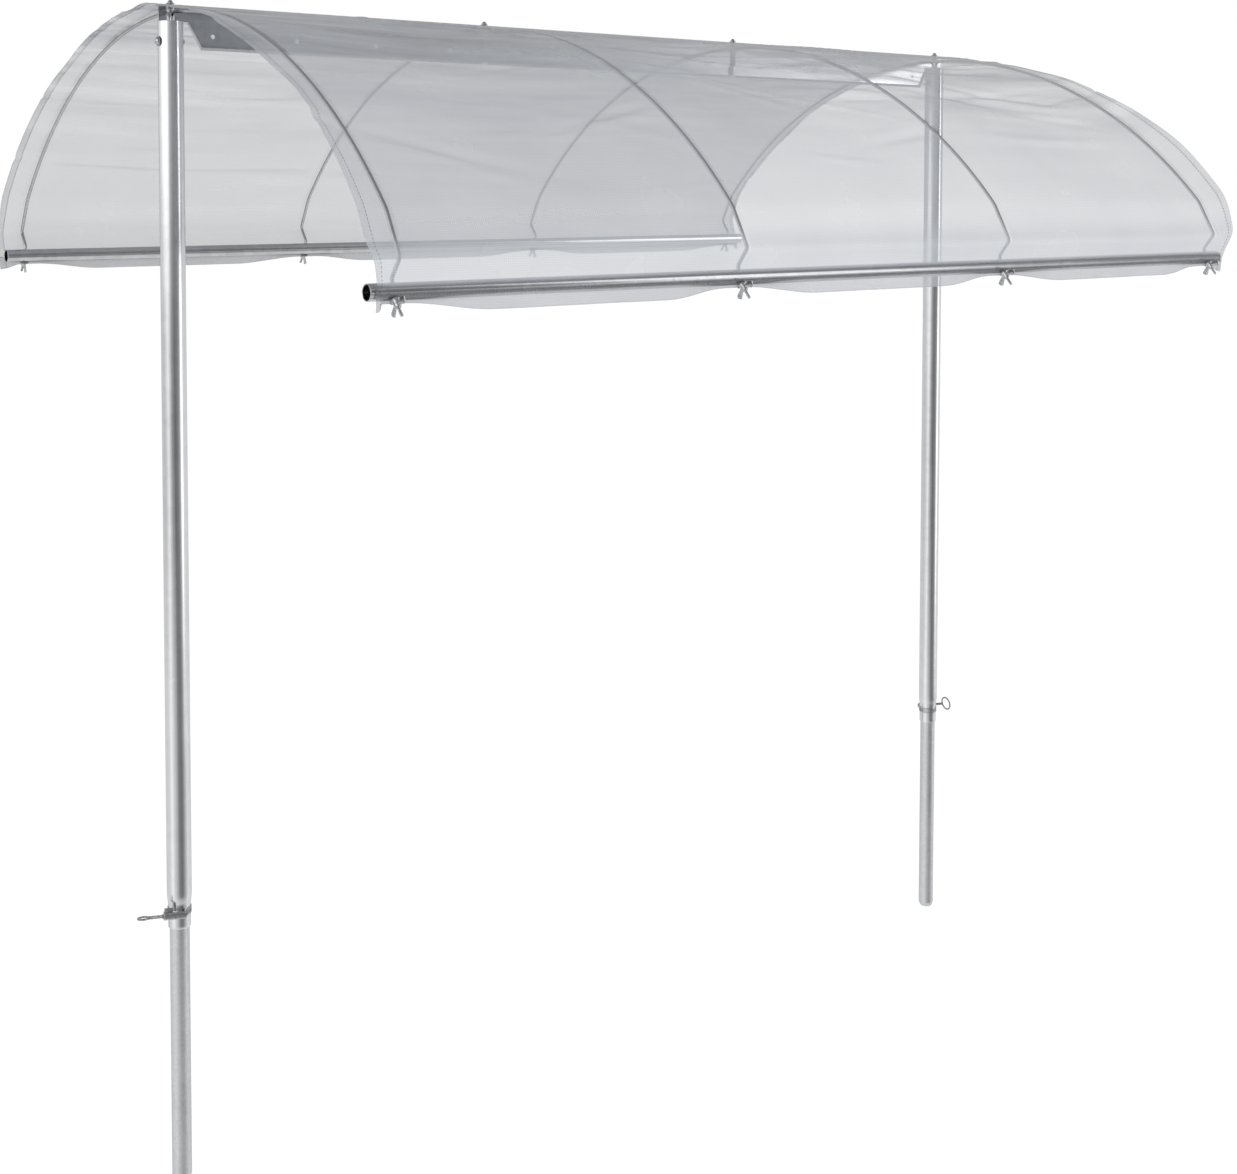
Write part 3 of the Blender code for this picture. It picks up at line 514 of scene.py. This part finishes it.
def domed(radius, low, high, last, count):
    """Corners of a domed head from its top to the angle last: radius sin a, low + rise cos a."""
    a = np.radians(np.linspace(0, last, count))
    return joined(radius * np.sin(a), low + (high - low) * np.cos(a), 0)


def flat_ring(outer, inner, near, near_bend, far, far_bend):
    """A washer or round nut about Z between two heights, its outer edges rounded."""
    return turned(eased([(outer, near, near_bend), (outer, far, far_bend), (inner, far, 0.2),
                         (inner, near, 0)]), 48)


bolt = turned(eased([*domed(bolt_dome_radius, rim_top, seat + bolt_head, 82.5, 12),
                     (bolt_dome_radius, rim_top, 0.3), (bolt_radius, rim_top, 0),
                     (bolt_radius, -bolt_end, 0.8), (0, -bolt_end, 0)]), 48, loop=False)
washer = flat_ring(bolt_rim_radius, bolt_radius + 0.2, rim_top, 0.6, seat, 0.2)
nut = flat_ring(bolt_nut_radius, bolt_radius + 0.3, -seat, 0.2, -seat - bolt_nut, 0.4)
for side, out in (("left", -1), ("right", 1)):
    lie = (Matrix.Translation((upright(f"upper_post_{side}")[0], 0, bolt_z))
           @ Matrix.Rotation(out * math.pi / 2, 4, "Y"))
    for name, shape, finish, node in (("washer", washer, dark_zinc, "bolt"),
                                      ("bolt", bolt, cast_zinc, "bolt"),
                                      ("nut", nut, cast_zinc, "nut")):
        piece(f"cross_{name}_{side}", [shape], finish, "dark_fastener", "roof",
              f"post_{node}_{side}", place=lie)

# Ridge. Three lengths of galvanised sheet, folded to a T with a stiffening lip, carry the roof.
# Round holes in the web take the plants' strings. The lip gets a lighter, rougher and half-metallic
# copy of the web's zinc, so that it shows as a light line along the fold: a painted highlight.
sheet_zinc = zinc_finish("galvanised sheet", (0.6, 0.61, 0.63), (0.72, 0.73, 0.755), 0.08, 0.16,
                         line=(8, 500, 500), crystal=90.0, bump=0.01)
# Painted highlight: a lighter, half-metallic copy of the sheet's zinc that makes the lip read as a
# light line.
highlight_lip_zinc = zinc_finish("folded lip painted highlight", (0.6, 0.61, 0.63), (0.74, 0.75, 0.77), 0.4, 0.55,
                       crystal=90.0, metal=0.4)
ridge_nodes = [f"ridge_section_{side}" for side in ("left", "middle", "right")]


def refinish(node, *finishes):
    """Gives a CAD node that keeps its shape new finishes, and returns its mesh."""
    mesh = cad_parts[node].data
    mesh.materials.clear()
    for finish in finishes:
        mesh.materials.append(finish)
    return mesh


for node in ridge_nodes:
    web = refinish(node, sheet_zinc, highlight_lip_zinc)
    normal = np.empty(3 * len(web.polygons))
    web.polygons.foreach_get("normal", normal)
    # The lip is the only part whose faces lean by 45 degrees.
    on_lip = np.abs(np.abs(normal[1::3]) - math.sqrt(0.5)) < 0.1
    web.polygons.foreach_set("material_index", on_lip.astype(np.int32))

# Joint brackets. A pressed hat plate with a pocket behind each inner joint of the ridge.
# The legs of two hoops stand in the pocket.
for side in sides:
    refinish(f"ridge_joint_{side}", sheet_zinc)

# Hoops. Eight half-hoops bent from 6 mm zinc-plated rod. Each hooks into the ridge with a short
# leg, arches outward, kinks inward at the knee and stands in the rail with its foot.
rod_radius = 3.0
leg_y, leg_bottom, leg_bend = 4.6, 1979.0, 12.0
arch_radius, arch_z = 960.0, 1064.0
arch_start, film_touch, arch_end = math.radians(1.5), math.radians(8.5), math.radians(48.5)
arch_bend, knee_bend = 60.0, 9.0
knee_y, knee_z = 755.0, 1635.0
rail_y, rail_z = 733.5, 1587.5
foot_top, foot_bottom = 1607.0, 1578.5
end_hoop = 950.0
bay = 2 * end_hoop / 3
hoop_xs = [bay * i - end_hoop for i in range(4)]
edges = (("front", -1), ("back", 1))


def arc(radius, start, end, steps):
    """Points (y, z) of the arch: y = r sin a, z = centre + r cos a, a from the crown."""
    a = np.linspace(start, end, steps + 1)
    return joined(radius * np.sin(a), arch_z + radius * np.cos(a))


def run(path):
    """The way along a path of points to each of them."""
    return np.concatenate([[0], np.cumsum(np.linalg.norm(np.diff(path, axis=0), axis=1))])


def swept(path, deep, wide, count):
    """A bar along a path (y, z). Each ring is an ellipse square to the path.

    deep is its half size along the path's normal, and wide its half size along X."""
    along = unit(np.gradient(path, axis=0))
    t = circle(count)
    off = deep[:, None] * np.cos(t)
    return skin(joined(wide[:, None] * np.sin(t), path[:, :1] - off * along[:, 1:],
                       path[:, 1:] + off * along[:, :1]), ring_columns=True)


rod_zinc = zinc_finish("zinc-plated rod", (0.46, 0.465, 0.48), (0.62, 0.625, 0.64), 0.06, 0.13,
                       line=(300, 20, 20), crystal=400.0)
arch = arc(arch_radius, arch_start, arch_end, 60)
bent = eased([(leg_y, leg_bottom, 0), (leg_y, arch[0, 1], leg_bend),
              *[(y, z, 0) for y, z in arch[:-1]], (*arch[-1], arch_bend),
              (knee_y, knee_z, knee_bend), (rail_y, foot_top, knee_bend),
              (rail_y, foot_bottom, 0)], 8)
length = run(bent)
even = np.linspace(0, length[-1], int(length[-1] / 2.5) + 1)
hoop_line = joined(*(np.interp(even, length, values) for values in bent.T))
thick = np.full(len(hoop_line), rod_radius)
thick[[0, -1]] = 0
rod = swept(hoop_line, thick, thick, 16)
for edge_name, sign in edges:
    for i, x in enumerate(hoop_xs, 1):
        (piece(
            f"rod_{edge_name}_{i}", [rod], rod_zinc, "hoop_rod", "roof", f"hoop_{edge_name}_{i}",
            place=Matrix.Translation((x, 0, 0)) @ Matrix.Diagonal((1, sign, 1, 1))).name)

# Rails. Two open-ended 25 mm galvanised tubes along the eaves, drilled on top for the hoop feet.
# A threaded boss is set in the lower outer side at each hoop.
rail_radius, rail_wall, rail_half, rail_round = 12.5, 1.5, 990.0, 0.4
boss_tilt = math.radians(50)
rail_count = 72
rail_holes = ((3.6, 0.0), (5.0, math.pi / 2 + boss_tilt))
rail_zinc = zinc_finish("rail zinc", (0.56, 0.565, 0.58), (0.68, 0.69, 0.705), 0.1, 0.18,
                        line=(3, 500, 500), crystal=60.0, bump=0.01)
rail_end = np.array([rail_half - rail_round, rail_half - 0.01, rail_half])
along = np.unique(np.round(np.concatenate([-rail_end, rail_end, np.arange(-960, 961, 24)]
                                          + [x + np.arange(-7, 7.1, 1.0) for x in hoop_xs]), 3))
xs, angles = np.meshgrid(along, circle(rail_count), indexing="ij")
keep = np.ones((len(along) - 1, rail_count), bool)
# A hole drops the cells that it touches and draws the points around them to its edge, by flat
# offsets from its centre on the unrolled tube.
for radius, centre in rail_holes:
    for x in hoop_xs:
        off_x = xs - x
        off_turn = ((angles - centre + np.pi) % (2 * np.pi) - np.pi) * rail_radius
        far = np.hypot(off_x, off_turn)
        inside = far < radius
        beside = np.roll(inside, -1, axis=1)
        cell = inside[:-1] | inside[1:] | beside[:-1] | beside[1:]
        keep &= ~cell
        touched = np.pad(cell | np.roll(cell, 1, axis=1), ((0, 1), (0, 0)))
        rim = (touched | np.roll(touched, 1, axis=0)) & ~inside
        pull = radius / np.maximum(far, 1e-6)
        xs = np.where(rim, x + off_x * pull, xs)
        angles = np.where(rim, centre + off_turn * pull / rail_radius, angles)
rail_ease = np.interp(np.abs(along), [rail_half - rail_round, rail_half], [0, rail_round])[:, None]


def rail_grid(radius, sign):
    """Tube along X: y = sign * r sin a, z = r cos a, with a from the top toward the outside."""
    return joined(xs, sign * (rail_y + radius * np.sin(angles)), rail_z + radius * np.cos(angles))


for edge_name, sign in edges:
    rail = walled(rail_grid(rail_radius - rail_ease, sign),
                  rail_grid(rail_radius - rail_wall + rail_ease, sign), keep)
    (piece(f"rail_tube_{edge_name}", [rail], rail_zinc, "galvanised_tube", "roof",
                            f"rail_{edge_name}").name)
    for i in range(1, 5):
        refinish(f"rail_boss_{edge_name}_{i}", dark_zinc)

# Canopy. One piece of clear film, reinforced with a fine net of threads, lies over the hoops.
# It is bolted along the ridge, stretched over the hoops and clamped round both rails.
canopy_end, ridge_top, flange_half = 998.0, 2036.0, 12.3
film_lift = 0.7
film_radius, wrap_radius = 963.6 + film_lift, 13.2 + film_lift
tail = 30.0
hug_reach, hang_reach, bay_sag = 22.0, 160.0, 12.0
knee_out, knee_drop = knee_y + 3.6 + film_lift, 8.0
rng = np.random.default_rng(7)


def rise(value, start, width):
    """Smooth step from 0 where the value is at start to 1 where it is at start + width."""
    return step_up((value - start) / width)


def half_section(hug):
    """Line (y, z) of the back half of the film. hug is 1 wrapped round the rail, 0 hanging."""
    wrap = np.linspace(0, boss_tilt, 9)
    y = rail_y + wrap_radius * (1 + hug * (np.cos(wrap) - 1))
    z = rail_z - wrap_radius * wrap + hug * wrap_radius * (wrap - np.sin(wrap))
    rest = tail - wrap_radius * boss_tilt
    end = (y[-1] - hug * rest * math.sin(boss_tilt),
           z[-1] - rest * (1 + hug * (math.cos(boss_tilt) - 1)))
    return np.vstack([[(0, ridge_top + film_lift), (flange_half, ridge_top + film_lift)],
                      arc(film_radius, film_touch, arch_end, 60),
                      [(knee_out, knee_z), (knee_out, knee_z - knee_drop)],
                      joined(y, z), [end]])


wrapped = half_section(1)
reach = run(wrapped)
film_half = reach[-1]
fine_step, spread = 1.5, 7.0
fine = np.linspace(0, film_half, int(film_half / fine_step) + 1)
kernel_reach = int(3 * spread / fine_step)
kernel = np.exp(-0.5 * (np.arange(-kernel_reach, kernel_reach + 1) * fine_step / spread) ** 2)
kernel /= kernel.sum()
arch_share = np.clip((fine - reach[2]) / (reach[62] - reach[2]), 0, 1)
knee_start, rail_start = reach[-12], reach[-10]


def soft_section(line):
    """The section at fine steps, its creases softened by a Gaussian everywhere but on the rail."""
    result = []
    share = 1 - rise(fine, rail_start - 25, 25)
    for i, parity in ((0, -1), (1, 1)):
        values = np.interp(fine, reach, line[:, i])
        whole = np.concatenate([parity * values[:0:-1], values])
        padded = np.pad(whole, kernel_reach, mode="reflect", reflect_type="odd")
        soft = np.convolve(padded, kernel, mode="valid")[len(fine) - 1:]
        result.append(share * soft + (1 - share) * values)
    push = 1.6 * np.exp(-((fine - (knee_start + 6)) / 16) ** 2)
    return result[0] + push, result[1] + 0.4 * push


soft_pairs = list(zip(soft_section(wrapped), soft_section(half_section(0))))

# Folds at the front and the back: how many, and the ranges of their place (x, s) and lean.
fold_table = []
for count, sign, x_range, s_range, lean_range in (
        (44, -1, (-900, 900), (60, 720), (-0.5, 0.35)),
        (60, 1, (-930, 930), (80, 800), (-0.1, 0.1))):
    x, s = rng.uniform(*x_range, count), sign * rng.uniform(*s_range, count)
    lean, length = rng.uniform(*lean_range, count), rng.uniform(70, 260, count)
    width = rng.uniform(7, 20, count)
    lift = rng.uniform(1.8, 4.6, count) * rng.choice([-1, 1], count)
    fold_table.append(joined(x, s, lean, length, width, lift))
# Short creases fan out from each cap bolt.
fan = np.radians([-62, -35, 35, 62])
for x in hoop_xs:
    for sign in (-1, 1):
        fold_table.append(joined(x + 80 * np.sign(fan) * np.cos(fan),
                                 sign * 80 * np.abs(np.sin(fan)),
                                 sign * np.tan(fan).clip(-2, 2), 60, 6.5, 2))
fold_table = np.vstack(fold_table)
# The free ends' bell, and how far they are drawn in at the rails: (back, front), left and right.
end_bell = np.array([(5.0, 8.0), (12.0, 27.0)])
end_drawn_in = np.array([(-2.0, 15.0), (6.0, 6.0)])


def free_end(x):
    """0 between the end hoops, rising to 1 at the film's free ends."""
    return rise(np.abs(x), end_hoop + 12, canopy_end - end_hoop - 12)


def held(x):
    """The distance to the nearest hoop, and how closely the film hugs the rail."""
    nearest = np.min(np.abs(x[..., None] - np.array(hoop_xs)), axis=-1)
    return nearest, np.where(np.abs(x) < end_hoop,
                             1 - rise(nearest, hug_reach, hang_reach - hug_reach),
                             1 - 0.7 * free_end(x))


def contact(x, s):
    """1 where the film lies on a hoop or the rail, its haze shows less and its colour is darkened
    as painted shade, below 0 where it crumples round the front knees, and 0 elsewhere."""
    down = np.abs(s)
    nearest, hug = held(x)
    slack = np.where(s < 0, 1.1, 0.1)
    crumpled = slack * rise(down, knee_start - 50, 50) * (1 - rise(down, rail_start - 16, 10))
    on_hoop = np.exp(-(nearest / 5) ** 2) * rise(down, 16, 10) * (1 - rise(down, knee_start, 10))
    on_rail = rise(down, rail_start - 16, 10) * (1 - rise(down, rail_start + 12, 8))
    off_rail = rise(down, rail_start + 4, 8) * (1 - hug)
    return np.maximum(on_hoop, on_rail * (1 - off_rail)) - crumpled


def film_points(x, s):
    """Film at grids of x along the ridge and s, the signed way down from the ridge.

    The section is a blend of the wrapped and the hanging one. It sinks between hoops by
    sag * sin^2 along x and sin along the arch. Folds are Gaussian ridges laid over it."""
    side, down = np.where(s < 0, -1.0, 1.0), np.abs(s)
    end, outward = free_end(x), np.sign(x)
    quarter = ((x > 0).astype(int), (s < 0).astype(int))
    nearest, hug = held(x)
    y, z = (hug * np.interp(down, fine, wrapping) + (1 - hug) * np.interp(down, fine, hanging)
            for wrapping, hanging in soft_pairs)
    share = np.interp(down, fine, arch_share)
    sag = np.where(np.abs(x) < end_hoop, bay_sag * np.sin(np.pi * (x + end_hoop) / bay) ** 2, 0)
    bump = np.zeros_like(x)
    for fx, fs, lean, length, width, lift in fold_table:
        turn = math.atan(lean)
        along = (x - fx) * math.cos(turn) + (s - fs) * math.sin(turn)
        across = ((s - fs) * math.cos(turn) - (x - fx) * math.sin(turn)) / width
        bump += lift * np.exp(-(along / length) ** 2) * (1 - across ** 2) * np.exp(-across ** 2)
    calm = (1 - np.exp(-(nearest / 30) ** 2)) * rise(down, 14, 60)
    calm = calm * (1 - rise(down, rail_start - 100, 60))
    flutter = rise(down, 20, 80) * (2.4 * np.sin(s / 61.0 + 0.8 * outward)
                                    + 0.7 * np.sin(s / 27.0 + 2.1 * outward))
    # The free ends bell outward over the lower arch, most at the right of the front half.
    bell = end_bell[quarter] * rise(down, 260, 420) * (1 - rise(down, rail_start - 110, 120))
    lift = bump * calm - sag * np.sin(np.pi * share) + end * (flutter + bell)
    slope = film_touch + (arch_end - film_touch) * share
    y = y + lift * np.sin(slope)
    z = z + lift * np.cos(slope)
    # The free edge at each end is cut a little unevenly, and it sags in between its rests.
    wave = rise(down, 10, 60) * (2.0 * np.sin(s / 83.0 + outward)
                                 + 0.5 * np.sin(s / 31.0 + 2 * outward))
    wave = wave - end_drawn_in[quarter] * rise(down, rail_start - 70, 70)
    # Next to a screw the film's edge is drawn up, and beyond the rail's end it flares out.
    beyond = rise(down, rail_start + wrap_radius * boss_tilt, 12) * hug
    eave = rise(down, rail_start, 28) * (1 - hug)
    y = y + beyond * (2.0 + 5.0 * end) + eave * (1.6 * np.sin(x / 41.0) + np.sin(x / 17.0 + 1))
    z = z + beyond * (5.0 - 7.0 * end)
    return joined(x + outward * end * wave, side * y, z)


def mark(sheet, name, values):
    """Gives each point of a sheet a value that its film finish reads by name."""
    sheet.data.attributes.new(name, "FLOAT", "POINT").data.foreach_set("value", values.ravel())


def film_sheet(name, x_lines, s_lines, offset, material, *nodes):
    """A sheet of film on a grid, pushed outward by offset, with its UV map in metres."""
    x, s = np.meshgrid(x_lines, s_lines, indexing="ij")
    points = film_points(x, s)
    normal = unit(np.cross(np.gradient(points, axis=0), np.gradient(points, axis=1)))
    points = points + normal * offset
    sheet = piece(name, [skin(points)], material, "film", "roof", *nodes, crease=80, outward=False)
    mark(sheet, "contact", contact(x, s))
    uv = sheet.data.uv_layers.new(name="flat")
    flat = joined(x, s).reshape(-1, 2)
    corner = np.empty(len(sheet.data.loops), int)
    sheet.data.loops.foreach_get("vertex_index", corner)
    uv.data.foreach_set("uv", (flat[corner] * MM).ravel())
    return sheet, points


# Thread net: 1 on a thread and 0 between them, for a square net of one pitch. Its haze is a
# slow cloud, and its streaks run along the ridge and fade down the slope.
net, net_in, net_out = new_group(
    "thread net",
    [("Flat", "Vector", (0, 0, 0)), ("Pitch", "Float", 0.0035), ("Thread", "Float", 0.2)],
    [("Mask", "Float"), ("Haze", "Float"), ("Streak", "Float")])
pitch = add_node(net, "CombineXYZ", {"X": net_in["Pitch"], "Y": net_in["Pitch"], "Z": 1.0})
cells = add_node(net, "VectorMath", {0: net_in["Flat"], 1: pitch}, operation="DIVIDE")
cell_place = add_node(net, "SeparateXYZ", {"Vector": cells})
threads = [ranged(net, maths(net, "PINGPONG", cell_place.outputs[axis], 0.5), 0.0,
                  net_in["Thread"], 1.0, 0.0, interpolation_type="SMOOTHSTEP") for axis in "XY"]
haze = add_node(net, "TexNoise", {"Vector": net_in["Flat"], "Scale": 7.0, "Detail": 4.0})
drawn_out = add_node(net, "VectorMath", {0: net_in["Flat"], 1: (1.7, 15.0, 1.0)},
                     operation="MULTIPLY")
streak = add_node(net, "TexNoise", {"Vector": drawn_out, "Scale": 1.0, "Detail": 3.0,
                                    "Roughness": 0.55})
way_down = add_node(net, "SeparateXYZ", {"Vector": net_in["Flat"]}).outputs["Y"]
strength = ranged(net, maths(net, "ABSOLUTE", way_down), 0.25, 0.7, 1.0, 0.12)
feed(net, net_out, {
    "Mask": maths(net, "MAXIMUM", *threads), "Haze": haze,
    "Streak": maths(net, "MULTIPLY", maths(net, "SUBTRACT", streak, 0.5), strength)})

haze_tones = ((0.32, 0.335, 0.36, 1), (0.39, 0.405, 0.43, 1))
# Near-black tone mixed into the film's colour where it lies on a hoop or the rail: painted shade.
contact_shade_tone = (0.07, 0.074, 0.08, 1)


def film_finish(name, pitch, thread, clear, threaded, grazing, clearing):
    """Reinforced film. Alpha is clear between threads and threaded on them. It rises where the
    film is seen edge on, and falls by clearing where the film lies on metal. There its colour
    also darkens toward a near-black tone: painted shade of the metal under it."""
    material, tree, shader = new_finish(name, {"Specular IOR Level": 0.18})
    weave = add_node(tree, "Group", {"Flat": add_node(tree, "UVMap", uv_map="flat"),
                                     "Pitch": pitch, "Thread": thread}, node_tree=net)
    mask, haze, streak = (weave.outputs[label] for label in ("Mask", "Haze", "Streak"))
    touch, rim = (add_node(tree, "Attribute", attribute_name=label).outputs["Fac"]
                  for label in ("contact", "rim"))
    # Where the film lies on metal its colour darkens toward the near-black tone: painted shade.
    painted_contact_shade = maths(tree, "MULTIPLY", touch, 0.62, use_clamp=True)
    tone = colour_mix(tree, painted_contact_shade, colour_mix(tree, haze, *haze_tones), contact_shade_tone)
    veil = maths(tree, "MULTIPLY_ADD", rim, 0.4, ranged(tree, streak, -0.15, 0.17, -0.17, 0.24))
    veil = maths(tree, "MULTIPLY_ADD", touch, -clearing, veil)
    body = maths(tree, "ADD", ranged(tree, mask, 0.0, 1.0, clear, threaded), veil)
    facing = add_node(tree, "LayerWeight", {"Blend": 0.5}).outputs["Facing"]
    edge_on = maths(tree, "POWER", facing, 3.0)
    relief = add_node(tree, "Bump", {"Height": mask, "Strength": 0.08, "Distance": 0.0002})
    feed(tree, shader, {
        "Base Color": tone, "Roughness": ranged(tree, haze, 0.0, 1.0, 0.16, 0.34),
        "Alpha": maths(tree, "MULTIPLY_ADD", edge_on, grazing, body, use_clamp=True),
        "Normal": relief})
    return material


film = film_finish("reinforced film", 0.0035, 0.2, 0.465, 0.56, 0.5, 0.16)
# Lines of the film's grid stand close over the hoops, at the knees and round the rails.
half_lines = np.concatenate([np.arange(0, 36, 4.0), np.arange(36, knee_start - 30, 9.0),
                             np.linspace(knee_start - 30, rail_start - 4, 22)[:-1],
                             np.linspace(rail_start - 4, film_half, 18)])
s_lines = np.concatenate([-half_lines[:0:-1], half_lines])
over_hoop = np.linspace(-9, 9, 9)
over_bay = np.concatenate([over_hoop, np.linspace(13, 24, 4)[:-1],
                           np.linspace(24, bay - 24, 76)[:-1],
                           np.linspace(bay - 24, bay - 9, 5)[:-1]])
x_lines = np.unique(np.round(np.concatenate(
    [np.linspace(-canopy_end, -960, 11)[:-1], *[x + over_bay for x in hoop_xs[:-1]],
     end_hoop + over_hoop, np.linspace(end_hoop + 13, canopy_end, 11)]), 3))
canopy, canopy_points = film_sheet("film_canopy", x_lines, s_lines, 0.0, film, "canopy")

# Hems. The film's four edges are turned in and sewn down with one row of stitches. The hems
# are 13 mm wide at the ends and 26 mm at the eaves, and their folded edges show as lines.
end_hem, eave_hem = 13.0, 26.0
hem_offset, fold_line = -0.5, 1.6
hem_film = film_finish("end hem film", 0.0024, 0.28, 0.06, 0.14, 0.15, 0.0)
eave_film = film_finish("eave hem film", 0.0024, 0.28, 0.34, 0.44, 0.2, 0.22)


def hem_lines(width):
    """Places across a hem, close together at its two long edges."""
    edge = np.array([0, 1.1, 2.2])
    return np.concatenate([edge, np.linspace(5, width - 5, 4), width - edge[::-1]])


def hem(name, x_places, s_places, across, width, material):
    """A hem sheet. Its rim attribute rises from 0 to 1 at the hem's two long edges."""
    sheet, points = film_sheet(name, x_places, s_places, hem_offset, material)
    near_edge = np.clip(1 - np.minimum(across, width - across) / fold_line, 0, 1)
    mark(sheet, "rim", np.broadcast_to(near_edge, points.shape[:2]))
    return sheet


across = hem_lines(end_hem)
for name, sign in (("left", -1), ("right", 1)):
    hem(f"end_hem_{name}", sign * (canopy_end - end_hem + across)[::sign], s_lines,
                    across[:, None], end_hem, hem_film)
across = hem_lines(eave_hem)
for name, sign in edges:
    hem(f"eave_hem_{name}", x_lines, sign * (film_half - eave_hem + across)[::sign],
                    across[None, :], eave_hem, eave_film)

# Stitches. Dark polyester thread, sewn by machine in one even row along each of the four hems.
# Each stitch is a short spindle of thread that lies on the film.
stitch_pitch, stitch_length, thread_radius, stitch_inset = 6.0, 3.4, 0.55, 1.5
thread = zinc_finish("seam thread", (0.05, 0.055, 0.06), (0.12, 0.125, 0.13), 0.6, 0.8,
                     crystal=900.0, metal=0.0)


def stitched(x, s):
    """Stitches on the film along a line of x or of s, each of five rings of four points.

    A ring's radius follows sqrt(sin(pi t)) over the stitch's length."""
    step, runs_x = 0.5, bool(np.ptp(x) > 0)
    start = film_points(x, s)
    along = film_points(x + step * runs_x, s + step * (not runs_x)) - start
    side = film_points(x + step * (not runs_x), s + step * runs_x) - start
    along, side, normal = unit(along), unit(side), unit(np.cross(along, side))
    t, turn = np.linspace(0, 1, 5), circle(4)
    thin = thread_radius * np.sqrt(np.sin(np.pi * t))
    centre = start[:, None, None] + along[:, None, None] * (stitch_length * t)[None, :, None, None]
    ring = (np.cos(turn)[None, None, :, None] * side[:, None, None]
            + np.sin(turn)[None, None, :, None] * normal[:, None, None])
    return [skin(stitch, ring_columns=True)
            for stitch in centre + ring * thin[None, :, None, None]]


s_row = np.arange(-film_half + 3, film_half - 3, stitch_pitch)
x_row = np.arange(-canopy_end + 3, canopy_end - 3, stitch_pitch)
rows = []
for sign in (-1, 1):
    rows += stitched(sign * (canopy_end - end_hem + stitch_inset) + 0 * s_row, s_row)
    rows += stitched(x_row, sign * (film_half - eave_hem + stitch_inset) + 0 * x_row)
hem_stitches = piece("hem_stitches", rows, thread, "film", "roof")

# Cap bolts. Dome-headed bolts with a washer pin the film on the ridge over each hoop,
# with a nut below the flange.
cap_washer_low, cap_washer, cap_washer_radius = 2038.2, 1.2, 7.0
cap_radius, cap_top, cap_shank, cap_end = 4.8, 2045.0, 2.5, 2021.0
cap_nut_radius, cap_nut_height, cap_nut_drop, cap_nut_chamfer = 4.6, 4.2, 2.3, 0.5
dome_low = cap_washer_low + cap_washer
nut_top = ridge_top - cap_nut_drop
nut_low = nut_top - cap_nut_height

# The nut is a hexagon, whose radius is apothem / cos(angle from the middle of its side).
# A cone of 45 degrees from the rim cuts its corners at each end.
t = circle(48)
apothem = cap_nut_radius * math.cos(math.pi / 6)
six = apothem / np.cos((t + np.pi / 6) % (np.pi / 3) - np.pi / 6)
cut = np.array([0.0, 0.4, 0.8, 1.2])[:, None] * cap_nut_chamfer
flank = np.minimum(six, apothem - 0.1 + 1.6 * cut)
bore = 0 * t + cap_shank + 0.3
height = np.vstack([nut_low, nut_low + 0.5 * cut, nut_top - 0.5 * cut[::-1], nut_top])
nut = skin(tube_grid(t, height, np.vstack([bore, flank, flank[::-1], bore])),
           ring_rows=True, ring_columns=True)
bolt = turned(eased([*domed(cap_radius, dome_low, cap_top, 90, 10),
                     (cap_washer_radius, dome_low, 0.4), (cap_washer_radius, cap_washer_low, 0.2),
                     (cap_shank, cap_washer_low, 0), (cap_shank, cap_end, 0.4),
                     (0, cap_end, 0)], 3), 32, loop=False)
for i, x in enumerate(hoop_xs, 1):
    for name, shape in (("bolt", bolt), ("nut", nut)):
        piece(f"dome_{name}_{i}", [shape], dark_zinc, "dark_fastener", "roof", f"cap_{name}_{i}",
              place=Matrix.Translation((x, 0, 0)))

# Wing screws. Cast zinc wings on a threaded shank go through the film into each boss.
# The tip bears on the hoop's foot inside the rail.
wing_shank, wing_tip, hub_radius, hub_low, hub_end, stud_end = 2.5, 8.3, 5.5, 21.0, 27.0, 42.0
wing_washer_near, wing_washer_far, wing_washer_radius = 15.2, 16.4, 9.0
wing_root, wing_reach, wing_rise, lobe_half, lobe_swell = 3.0, 17.2, 7.6, 3.2, 3.0
stud_depth, stud_pitch, thread_end, plate_half, plate_thinning = 0.35, 0.5, 13.5, 1.9, 0.5
outline = [(0, stud_end, 0), (wing_shank - 0.6, stud_end, 0.2),
           *thread_line(wing_shank, stud_depth, hub_end + 0.4, stud_end - 0.6, stud_pitch, 0.05),
           (wing_shank, hub_end, 0), (hub_radius - 0.9, hub_end, 1.2), (hub_radius, hub_low, 2),
           (hub_radius + 1.0, wing_washer_far, 0.3), (wing_washer_radius, wing_washer_far, 0.3),
           (wing_washer_radius, wing_washer_near, 0.2), (wing_shank, wing_washer_near, 0),
           *thread_line(wing_shank, stud_depth, wing_tip + 0.6, thread_end, stud_pitch, 0.05),
           (wing_shank - 0.6, wing_tip, 0.2), (0, wing_tip, 0)]
shapes = [turned(eased(outline, 3), 28, loop=False)]
# A wing leans outward along a bent line and swells to a round lobe.
t = np.linspace(0, 1, 26)
lobe = lobe_half + lobe_swell * t
lobe = np.where(t < 0.3, lobe, lobe * np.sqrt(np.clip(1 - (2 * t ** 1.8 - 1) ** 6, 0, 1)))
lobe[[0, -1]] = 0
plate = np.where(lobe > 0, plate_half - plate_thinning * t, 0)
for flank in (-1, 1):
    line = joined(flank * (wing_root + wing_reach * t ** 0.95), hub_low + wing_rise * t ** 1.5)
    shapes.append(swept(line, lobe, plate, 20))
for edge_name, sign in edges:
    lean = Matrix.Rotation(sign * -(math.pi / 2 + boss_tilt), 4, "X")
    for i, x in enumerate(hoop_xs, 1):
        piece(f"wing_{edge_name}_{i}", shapes, cast_zinc, "dark_fastener",
              f"wing_screw_{edge_name}_{i}", f"wing_screw_{edge_name}_{i}",
              place=Matrix.Translation((x, sign * rail_y, rail_z)) @ lean)
